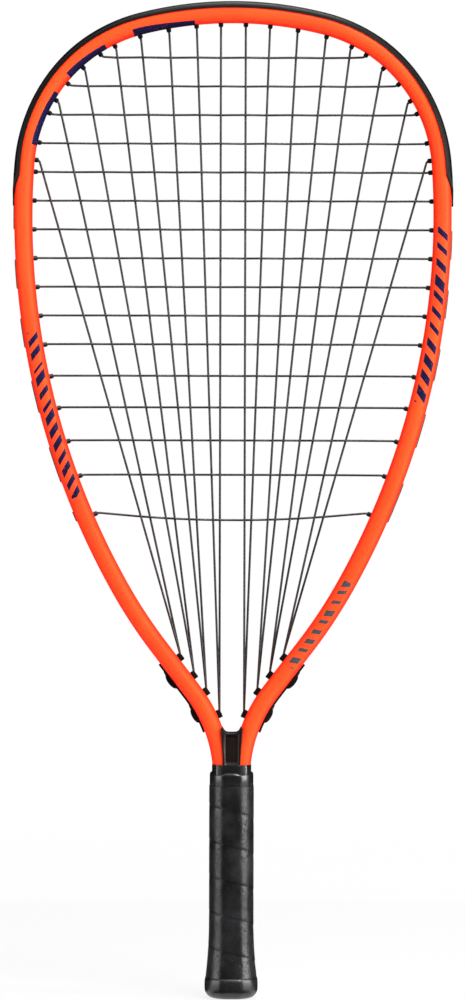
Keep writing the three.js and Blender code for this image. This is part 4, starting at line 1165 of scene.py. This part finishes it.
def plate_through(bm, corners, radii, half_depth, steps=ROUNDING_STEPS):
    """A plate with this outline in X and Z, reaching half_depth to the front and to the back."""
    points = [bm.verts.new((x, -half_depth, z)) for x, z in round_outline(corners, radii, steps)]
    face = bm.faces.new(points)
    moved = points_in(bmesh.ops.extrude_face_region(bm, geom=[face])["geom"])
    bmesh.ops.translate(bm, verts=moved, vec=(0, 2 * half_depth, 0))
    return points + moved


def make_throat_yoke():
    right = [
        (YOKE_FOOT_HALF, YOKE_FOOT), (YOKE_FOOT_HALF, COLLAR_TOP), (YOKE_TOP_HALF, YOKE_HORN_TOP),
        (YOKE_TOP_HALF - YOKE_HORN_TIP_WIDTH, YOKE_HORN_TOP),
        (YOKE_TOP_HALF - YOKE_HORN_FOOT_WIDTH, YOKE_SADDLE),
    ]
    radii = [radius * MM for radius in YOKE_ROUNDINGS_MM]
    bm = bmesh.new()
    plate_through(bm, mirror_first(right), radii + radii[::-1], YOKE_HALF_DEPTH, YOKE_CORNER_STEPS)
    bevel_sharp(bm, YOKE_RIM_DEGREES, YOKE_RIM, YOKE_RIM_STEPS)
    half = YOKE_FOOT_HALF - PANEL_MARGIN
    corners = mirror_first([(half, COLLAR_TOP + PANEL_MARGIN), (half, YOKE_SADDLE - PANEL_MARGIN)])
    panels = bmesh.new()
    for _, face in SIDES:
        points = plate_through(panels, corners, [PANEL_ROUNDING] * len(corners), PANEL_RECESS)
        bmesh.ops.translate(panels, verts=points, vec=(0, face * YOKE_HALF_DEPTH, 0))
    make_piece("crotch_yoke", bm, "yoke_plastic", "throat_yoke", panels)


make_throat_yoke()

# %% [markdown]
# Handle outline. The handle is a bevelled oval with twelve facets. The grip, its band and the butt cap all
# use this outline, drawn in or let out by one distance all round, and the collar has one of its own. A
# vertex bevel softens the corners.

# %% Handle outline
HANDLE_QUARTER_SHARES = ((1, 0.42), (0.8, 0.74), (0.38, 1))
GRIP_HALF_WIDTH = 12.5 * MM
GRIP_HALF_DEPTH = 14.5 * MM
GRIP_HALVES = (GRIP_HALF_WIDTH, GRIP_HALF_DEPTH)
WRAP_THICKNESS = 1.5 * MM
FACET_ROUNDING = 2.0 * MM


def faceted_oval(shares, halves, rounding, steps=ROUNDING_STEPS):
    corners = mirror_second(mirror_first(quarter_of(shares, *halves)))
    return round_outline(corners, [rounding] * len(corners), steps)


def handle_outline(rounding=FACET_ROUNDING, steps=ROUNDING_STEPS):
    return faceted_oval(HANDLE_QUARTER_SHARES, GRIP_HALVES, rounding, steps)


def inset_shares(inset, halves=GRIP_HALVES):
    """How much an outline's width and depth shrink when it is drawn in by a distance."""
    return 1 - inset / halves[0], 1 - inset / halves[1]


def loft_up(levels, outline, halves=GRIP_HALVES):
    """Extrude the outline up from level to level; a level is a height above the butt and an inset."""
    bm = bmesh.new()
    height, inset = levels[0]
    wide, deep = inset_shares(inset, halves)
    loop = closed_loop(bm, [(x * wide, y * deep, height - BUTT_TO_ORIGIN) for x, y in outline])
    for next_height, next_inset in levels[1:]:
        loop, points = extrude_loop(bm, loop)
        next_wide, next_deep = inset_shares(next_inset, halves)
        bmesh.ops.scale(bm, vec=(next_wide / wide, next_deep / deep, 1), verts=points)
        bmesh.ops.translate(bm, vec=(0, 0, next_height - height), verts=points)
        height, wide, deep = next_height, next_wide, next_deep
    close_ends(bm)
    return bm


print("points round the handle:", len(handle_outline()))

# %% [markdown]
# Wound grip. One strip of tacky rubber is wound up the handle, and each turn's lower edge stands a little
# proud of the turn below it, which leaves seams that slope down to the right. A column of points with the
# seam's profile is extruded once round the outline and sinks by one strip width on its way, so that the
# seams lie exactly on mesh lines. The turns are then merged, the ends cut level and the skin given its
# wall.

# %% Wound grip
WRAP_FOOT = 11.75 * MM
WRAP_TOP = GRIP_TOP_HEIGHT - 8.4 * MM
FLARE_TOP = 43.5 * MM
BUTT_FLARE = 1.82 * MM
FIRST_SEAM = GRIP_TOP_HEIGHT - 21.4 * MM
COLUMN_TOP = FIRST_SEAM + 2 * SEAM_PITCH
# Distance below a seam's edge, and how far the surface lies in from the grip's outline there
SEAM_PROFILE_MM = (
    (0.0, 0.16), (0.5, 0.16), (1.2, 0.13), (2.2, 0.08), (3.6, 0.03), (5.2, 0.0), (8.0, 0.0), (11.0, 0.0),
    (14.0, 0.0), (16.6, -0.01), (18.2, -0.03), (19.0, -0.02), (19.5, 0.03), (19.8, 0.09),
)
SEAM_TURNS = 8
TURN_MERGE_DISTANCE = 0.03 * MM
GRIP_SHARP_DEGREES = 50


def flare_at(height):
    share = (FLARE_TOP - height) / (FLARE_TOP - WRAP_FOOT)
    return BUTT_FLARE * share * share if height < FLARE_TOP else 0.0


def wind_strip():
    """The open wound skin. Until it is placed, each point stands at (place in the ring, turn, row)."""
    outline = handle_outline()
    count = len(outline)
    # The column starts in front and goes round so that the seams fall to the right there
    start = min(range(count), key=lambda number: abs(outline[number][0]) + outline[number][1])
    ring = [outline[(start + number) % count] for number in range(count + 1)]
    travelled = [0.0]
    for before, after in zip(ring, ring[1:]):
        travelled.append(travelled[-1] + math.dist(before, after))
    girth = travelled[-1]
    bm = bmesh.new()
    rows = range(len(SEAM_PROFILE_MM))
    points = [bm.verts.new((0, turn, row)) for turn in range(SEAM_TURNS) for row in rows]
    edges = [bm.edges.new(pair) for pair in zip(points, points[1:])]
    for place in range(1, count + 1):
        edges, points = extrude_loop(bm, edges)
        for point in points:
            point.co.x = place
    strip_map = bm.loops.layers.uv.new("strip_map")
    for face in bm.faces:
        for corner in face.loops:
            place, turn, row = (round(number) for number in corner.vert.co)
            corner[strip_map].uv = (travelled[place] + girth * turn, SEAM_PROFILE_MM[row][0] * MM)
    for point in bm.verts:
        place, turn, row = (round(number) for number in point.co)
        below, inset = (length * MM for length in SEAM_PROFILE_MM[row])
        height = COLUMN_TOP - SEAM_PITCH * (turn + travelled[place] / girth) - below
        wide, deep = inset_shares(inset - flare_at(height))
        x, y = ring[place]
        point.co = (x * wide, y * deep, height - BUTT_TO_ORIGIN)
    bmesh.ops.remove_doubles(bm, verts=bm.verts, dist=TURN_MERGE_DISTANCE)
    return bm


def make_grip():
    bm = wind_strip()
    for height, direction in ((WRAP_TOP, 1), (WRAP_FOOT, -1)):
        level = height - BUTT_TO_ORIGIN
        bmesh.ops.bisect_plane(
            bm, geom=bm.verts[:] + bm.edges[:] + bm.faces[:], plane_co=(0, 0, level),
            plane_no=(0, 0, direction), clear_outer=True,
        )
        rim = [
            edge for edge in bm.edges
            if edge.is_boundary and all(abs(point.co.z - level) < LEVEL_TOLERANCE for point in edge.verts)
        ]
        _, points = extrude_loop(bm, rim)
        bmesh.ops.scale(bm, vec=(*inset_shares(WRAP_THICKNESS), 1), verts=points)
    bmesh.ops.bridge_loops(bm, edges=[edge for edge in bm.edges if edge.is_boundary])
    make_piece("wound_grip", bm, "grip_rubber", "grip_wrap", sharp_degrees=GRIP_SHARP_DEGREES)


make_grip()

# %% [markdown]
# Band and collar. A smooth rubber band closes the top of the wrap. Its rim is rounded wide and lies lower in
# front and at the back, with a small crown in the middle of both. Above it a low collar with eased rims sits
# round the two shafts. Each is an outline extruded up.

# %% Band and collar
BAND_STEP = 0.25 * MM
BAND_ROUNDING = 1.8 * MM
BAND_FOOT_EASE = (0.2 * MM, 0.06 * MM)
# The rim's rounding: depth below the top, and how far the surface lies in from the band's face there
BAND_RIM_MM = ((2.4, 0.0), (1.9, 0.06), (1.4, 0.2), (0.9, 0.48), (0.45, 0.95), (0.12, 1.6), (0.0, 2.6))
BAND_RIM_MARGIN = 0.1 * MM
BAND_RIM_DROP = 0.9 * MM
BAND_CROWN = 0.8 * MM
COLLAR_SEAT = 2.5 * MM
COLLAR_HALF_WIDTH = 11.0 * MM
COLLAR_HALF_DEPTH = 13.2 * MM
COLLAR_QUARTER_SHARES = ((1, 0.55), (0.78, 0.86), (0.4, 1))
COLLAR_ROUNDING = 0.9 * MM
# The collar's rim: height over its top, and how far the surface lies in from its outline there
COLLAR_RIM_MM = ((-0.7, 0), (-0.25, 0.12), (-0.05, 0.4), (0, 0.75), (-0.2, 1.6))


def make_band():
    levels = [(WRAP_TOP, BAND_STEP + BAND_FOOT_EASE[1]), (WRAP_TOP + BAND_FOOT_EASE[0], BAND_STEP)]
    levels += [(GRIP_TOP_HEIGHT - below * MM, BAND_STEP + inset * MM) for below, inset in BAND_RIM_MM]
    bm = loft_up(levels, handle_outline(BAND_ROUNDING))
    rim_foot = GRIP_TOP_HEIGHT - BAND_RIM_MM[0][0] * MM - BAND_RIM_MARGIN - BUTT_TO_ORIGIN
    half = GRIP_HALF_WIDTH * HANDLE_QUARTER_SHARES[2][0]
    for point in bm.verts:
        if point.co.z > rim_foot:
            aside = min(1, abs(point.co.x) / GRIP_HALF_WIDTH)
            crown = max(0, 1 - (point.co.x / half) ** 2)
            point.co.z -= BAND_RIM_DROP * (1 - aside ** 4) - BAND_CROWN * crown
    make_piece("grip_top_band", bm, "band_rubber", "grip_band")


def make_collar():
    outline = faceted_oval(COLLAR_QUARTER_SHARES, (COLLAR_HALF_WIDTH, COLLAR_HALF_DEPTH), COLLAR_ROUNDING)
    levels = [(GRIP_TOP_HEIGHT - COLLAR_SEAT, 0)]
    levels += [(COLLAR_TOP_HEIGHT + rise * MM, inset * MM) for rise, inset in COLLAR_RIM_MM]
    bm = loft_up(levels, outline, (COLLAR_HALF_WIDTH, COLLAR_HALF_WIDTH))
    make_piece("shaft_collar", bm, "band_rubber", "grip_collar")


make_band()
make_collar()

# %% [markdown]
# Butt cap. A moulded rubber cap closes the handle: its belly stands a little proud of the grip, its foot is
# rounded, and two slots in the end take a wrist cord round the bar between them. It is lofted from rings of
# the handle's outline that follow a quarter ellipse at the foot, and the slots are cut by a boolean.

# %% Butt cap
CAP_BELLY_HEIGHT = 8 * MM
CAP_BELLY_FLARE = 2.4 * MM
CAP_FOOT_ROUNDING = 6 * MM
CAP_FOOT_STEPS = 8
CAP_FACET_ROUNDING = 1.6 * MM
CAP_FACET_STEPS = 4
# Over the belly: height above the butt, and how far the surface lies in from the grip's outline there
CAP_SHOULDER_MM = (
    (9.6, -2.36), (10.2, -2.26), (10.8, -2.08), (11.2, -1.92), (11.55, -1.74), (11.7, -1.55), (11.7, 0.4),
)
SLOT_SIZE = (5 * MM, 9 * MM, 6 * MM)
SLOT_OFFSET = 4 * MM
SLOT_ROUNDING = 0.9 * MM


def make_butt_cap():
    levels = []
    for step in range(CAP_FOOT_STEPS + 1):
        angle = math.pi / 2 * step / CAP_FOOT_STEPS
        height = CAP_FOOT_ROUNDING * (1 - math.cos(angle))
        levels.append((height, CAP_FOOT_ROUNDING * (1 - math.sin(angle)) - CAP_BELLY_FLARE))
    levels.append((CAP_BELLY_HEIGHT, -CAP_BELLY_FLARE))
    levels += [(height * MM, inset * MM) for height, inset in CAP_SHOULDER_MM]
    slots = bmesh.new()
    for _, side in SIDES:
        place = Matrix.Translation((side * SLOT_OFFSET, 0, -BUTT_TO_ORIGIN))
        rounded_box(slots, SLOT_SIZE, place, SLOT_ROUNDING)
    bm = loft_up(levels, handle_outline(CAP_FACET_ROUNDING, CAP_FACET_STEPS))
    make_piece("moulded_butt", bm, "cap_rubber", "butt_cap", slots)


make_butt_cap()

# %% [markdown]
# Strings. The racket is strung with two lengths of nylon: one for the mains, which passes from port to port
# over the saddles and from hole to hole over the crown, and one for the crosses, which is woven over and
# under. The two routes are lists of corner points. Every corner is rounded, and a curve with a round bevel
# lies along them.

# %% String routes
STRINGING_ORDER = (0, 2, 1, 3, 4, 6, 5, 7)
CORNER_CUT = STRING_RADIUS
CROSSING_FLAT = 2.2 * MM
CROSSING_PASSES = 4
STRING_TAIL = 6 * MM
MAIN_HALF = len(main_runs)
SADDLE_STEP_SHARES = (-0.95, -0.75, -0.4, 0, 0.4, 0.75, 0.95)
SADDLE_RAMP = 1.4 * MM
SADDLE_LIFT = STRING_RADIUS + 0.1 * MM
FOOT_SHIFT = 1.15 * MM
FOOT_OUT = PORT_TIP + 0.55 * MM
FOOT_TURN = (0.6 * MM, PORT_TIP + 1.9 * MM)


def weave_side(main_index, cross_index):
    return 1 if (main_index + cross_index) % 2 == 0 else -1


def describe_main(index):
    side = -1 if index < MAIN_HALF else 1
    from_middle = MAIN_HALF - 1 - index if side < 0 else index - MAIN_HALF
    top_run, port_run = side * main_runs[from_middle], side * port_runs[from_middle // 2]
    top = frame_point(top_run, BARREL_TIP - STRING_BEND)
    foot = frame_point(port_run - side * FOOT_SHIFT, FOOT_OUT)
    return {"index": index, "top_run": top_run, "port_run": port_run, "top": top, "foot": foot}


def describe_cross(index):
    reach = frame_point(cross_runs[index], BARREL_TIP - STRING_BEND).x
    sag = LAST_CROSS_SAG if index == len(cross_levels) - 1 else 0.0
    return {"index": index, "reach": reach, "level": cross_levels[index], "sag": sag}


mains = [describe_main(index) for index in range(2 * MAIN_HALF)]
crosses = [describe_cross(index) for index in range(len(cross_levels))]


def cross_height(cross, x):
    return cross["level"] - cross["sag"] * (1 - (x / cross["reach"]) ** 2)


def crossing_of(main, cross):
    """Where the two strings cross and on which side of the other the main passes, if they meet at all."""
    top, foot = main["top"], main["foot"]
    slope = (foot.x - top.x) / (foot.z - top.z)
    height = cross_height(cross, 0)
    for _ in range(CROSSING_PASSES):
        x = top.x + slope * (height - top.z)
        height = cross_height(cross, x)
    thickness = 2 * STRING_RADIUS
    on_main = foot.z + thickness < height < top.z - thickness
    if on_main and abs(x) < cross["reach"] - FIT_GAP:
        return x, height, weave_side(main["index"], cross["index"])
    return None


def lie_flat(pairs, rise_sign, direction_of):
    """Two points at each crossing, so that a string passes level over its neighbour."""
    points = []
    for x, height, side in filter(None, (crossing_of(main, cross) for main, cross in pairs)):
        middle = Vector((x, rise_sign * side * WEAVE_RISE, height))
        step = direction_of(x) * CROSSING_FLAT / 2
        points += [middle - step, middle + step]
    return points


def main_points(main):
    direction = (main["foot"] - main["top"]).normalized()
    return lie_flat([(main, cross) for cross in crosses], 1, lambda x: direction)


def cross_points(cross):
    def direction(x):
        return Vector((1, 0, 2 * cross["sag"] * x / cross["reach"] ** 2)).normalized()

    return lie_flat([(main, cross) for main in mains], -1, direction)


def bend_onto_strip(run, towards, depth=0.0):
    """Out through a barrel and round onto the strip, towards another run."""
    turned = run + math.copysign(CORNER_CUT, towards - run)
    return [
        frame_point(run, BARREL_TIP - STRING_BEND), frame_point(run, STRING_SEAT - CORNER_CUT),
        frame_point(turned, STRING_SEAT, depth * CORNER_CUT / LOOP_OFFSET),
    ]


def outside_loop(start, end, depth):
    """A loop on the outside of the tube from one hole to the next."""
    heading = math.copysign(1, end - start)
    shift = 2 * LOOP_OFFSET if depth else 2 * CORNER_CUT
    along = even_steps(start + heading * shift, end - heading * shift)
    middle = [frame_point(run, STRING_SEAT, depth) for run in along]
    return bend_onto_strip(start, end, depth) + middle + bend_onto_strip(end, start, depth)[::-1]


def out_of_port(run, heading):
    """Runs and heights from a port's sleeve up to the strip beside it."""
    away = math.copysign(1, run)
    return [
        (run - away * FOOT_SHIFT, FOOT_OUT), (run - away * FOOT_TURN[0], FOOT_TURN[1]),
        (run, TUBE_HALF_WIDTH), (run + heading * SADDLE_RAMP, THROAT_FLOOR + SADDLE_LIFT),
    ]


def lobe_loop(start, end, depth):
    """A loop over a saddle from one port to its neighbour."""
    heading = math.copysign(1, end - start)
    middle = (start + end) / 2 + math.copysign(LOBE_SHIFT, start)
    over = []
    for share in SADDLE_STEP_SHARES:
        floor = THROAT_FLOOR + (LOBE_FLOOR - THROAT_FLOOR) * math.sqrt(1 - share * share)
        over.append((middle + heading * LOBE_LENGTH / 2 * share, floor + SADDLE_LIFT))
    places = out_of_port(start, heading) + over + out_of_port(end, -heading)[::-1]
    return [frame_point(run, out, depth) for run, out in places]


def tail(run, heading):
    tip = run + heading * STRING_TAIL
    return bend_onto_strip(run, tip) + [frame_point(tip, STRING_SEAT)]


def main_half_route(side):
    """The mains of one side in stringing order: down one, over a saddle, up the next, over the crown."""
    order = [mains[MAIN_HALF + place if side > 0 else MAIN_HALF - 1 - place] for place in STRINGING_ORDER]
    route = []
    for step, main in enumerate(order):
        down = step % 2 == 0
        route += main_points(main) if down else main_points(main)[::-1]
        if main is order[-1]:
            return route
        following = order[step + 1]
        if down:
            depth = weave_side(main["index"], len(crosses) - 1) * WEAVE_RISE
            route += lobe_loop(main["port_run"], following["port_run"], depth)
        else:
            route += outside_loop(main["top_run"], following["top_run"], -LOOP_OFFSET)


def main_route():
    last = main_runs[-1]
    return (
        tail(-last, 1)[::-1] + main_half_route(-1)[::-1]
        + outside_loop(-main_runs[0], main_runs[0], -LOOP_OFFSET)
        + main_half_route(1) + tail(last, -1)
    )


def cross_route():
    route = tail(-cross_runs[0], -1)[::-1]
    for index, cross in enumerate(crosses):
        side = 1 if index % 2 == 0 else -1
        route += cross_points(cross)[::side]
        if index < len(crosses) - 1:
            depth = LOOP_OFFSET if index + 1 < GUARD_CROSSES else 0.0
            route += outside_loop(side * cross_runs[index], side * cross_runs[index + 1], depth)
    return route + tail(-cross_runs[-1], 1)


print("corners of the main string:", len(main_route()))

# %% [markdown]
# A string can't turn a sharp corner, so each corner becomes a short arc that takes at most a little under
# half of the straight on either side. The curve object keeps the true round section, which a few mesh sides
# would not.

# %% Strings
CORNER_ROUNDING = 1.3 * MM
CORNER_STEPS = 3
CORNER_TAKE_SHARE = 0.45


def round_corners(points):
    rounded = [points[0]]
    for before, corner, after in zip(points, points[1:], points[2:]):
        back, ahead = before - corner, after - corner
        cut = min(CORNER_ROUNDING, CORNER_TAKE_SHARE * back.length, CORNER_TAKE_SHARE * ahead.length)
        first, last = corner + back.normalized() * cut, corner + ahead.normalized() * cut
        for step in range(CORNER_STEPS + 1):
            share = step / CORNER_STEPS
            rounded.append(first.lerp(corner, share).lerp(corner.lerp(last, share), share))
    rounded.append(points[-1])
    return rounded


def make_string(name, route, node):
    points = round_corners(route)
    line = bpy.data.curves.new(name, "CURVE")
    line.dimensions = "3D"
    line.bevel_depth = STRING_RADIUS
    line.bevel_resolution = 2
    line.use_fill_caps = True
    spline = line.splines.new("POLY")
    spline.points.add(len(points) - 1)
    for target, point in zip(spline.points, points):
        target.co = (*point, 1)
    spline.use_smooth = True
    length = sum((after - before).length for before, after in zip(points, points[1:]))
    print(name, "length, m:", round(length, 2))
    finish_piece(link_object(name, line, looks["string_nylon"]), "string_nylon", node)


make_string("mains_string", main_route(), "main_string")
make_string("crosses_string", cross_route(), "cross_string")

# %% [markdown]
# The pads inside the handle and the plugs in the tube's ends are hidden once the racket is assembled. Their
# CAD solids stay as they are and only get a finish.

# %% Hidden parts
for node, look in (
    ("handle_shell_front", "shell_foam"), ("handle_shell_back", "shell_foam"),
    ("shaft_plug_left", "plug_foam"), ("shaft_plug_right", "plug_foam"),
):
    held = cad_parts[node]
    for place in held.material_slots:
        place.material = looks[look]
    print(node, "slots:", len(held.material_slots))
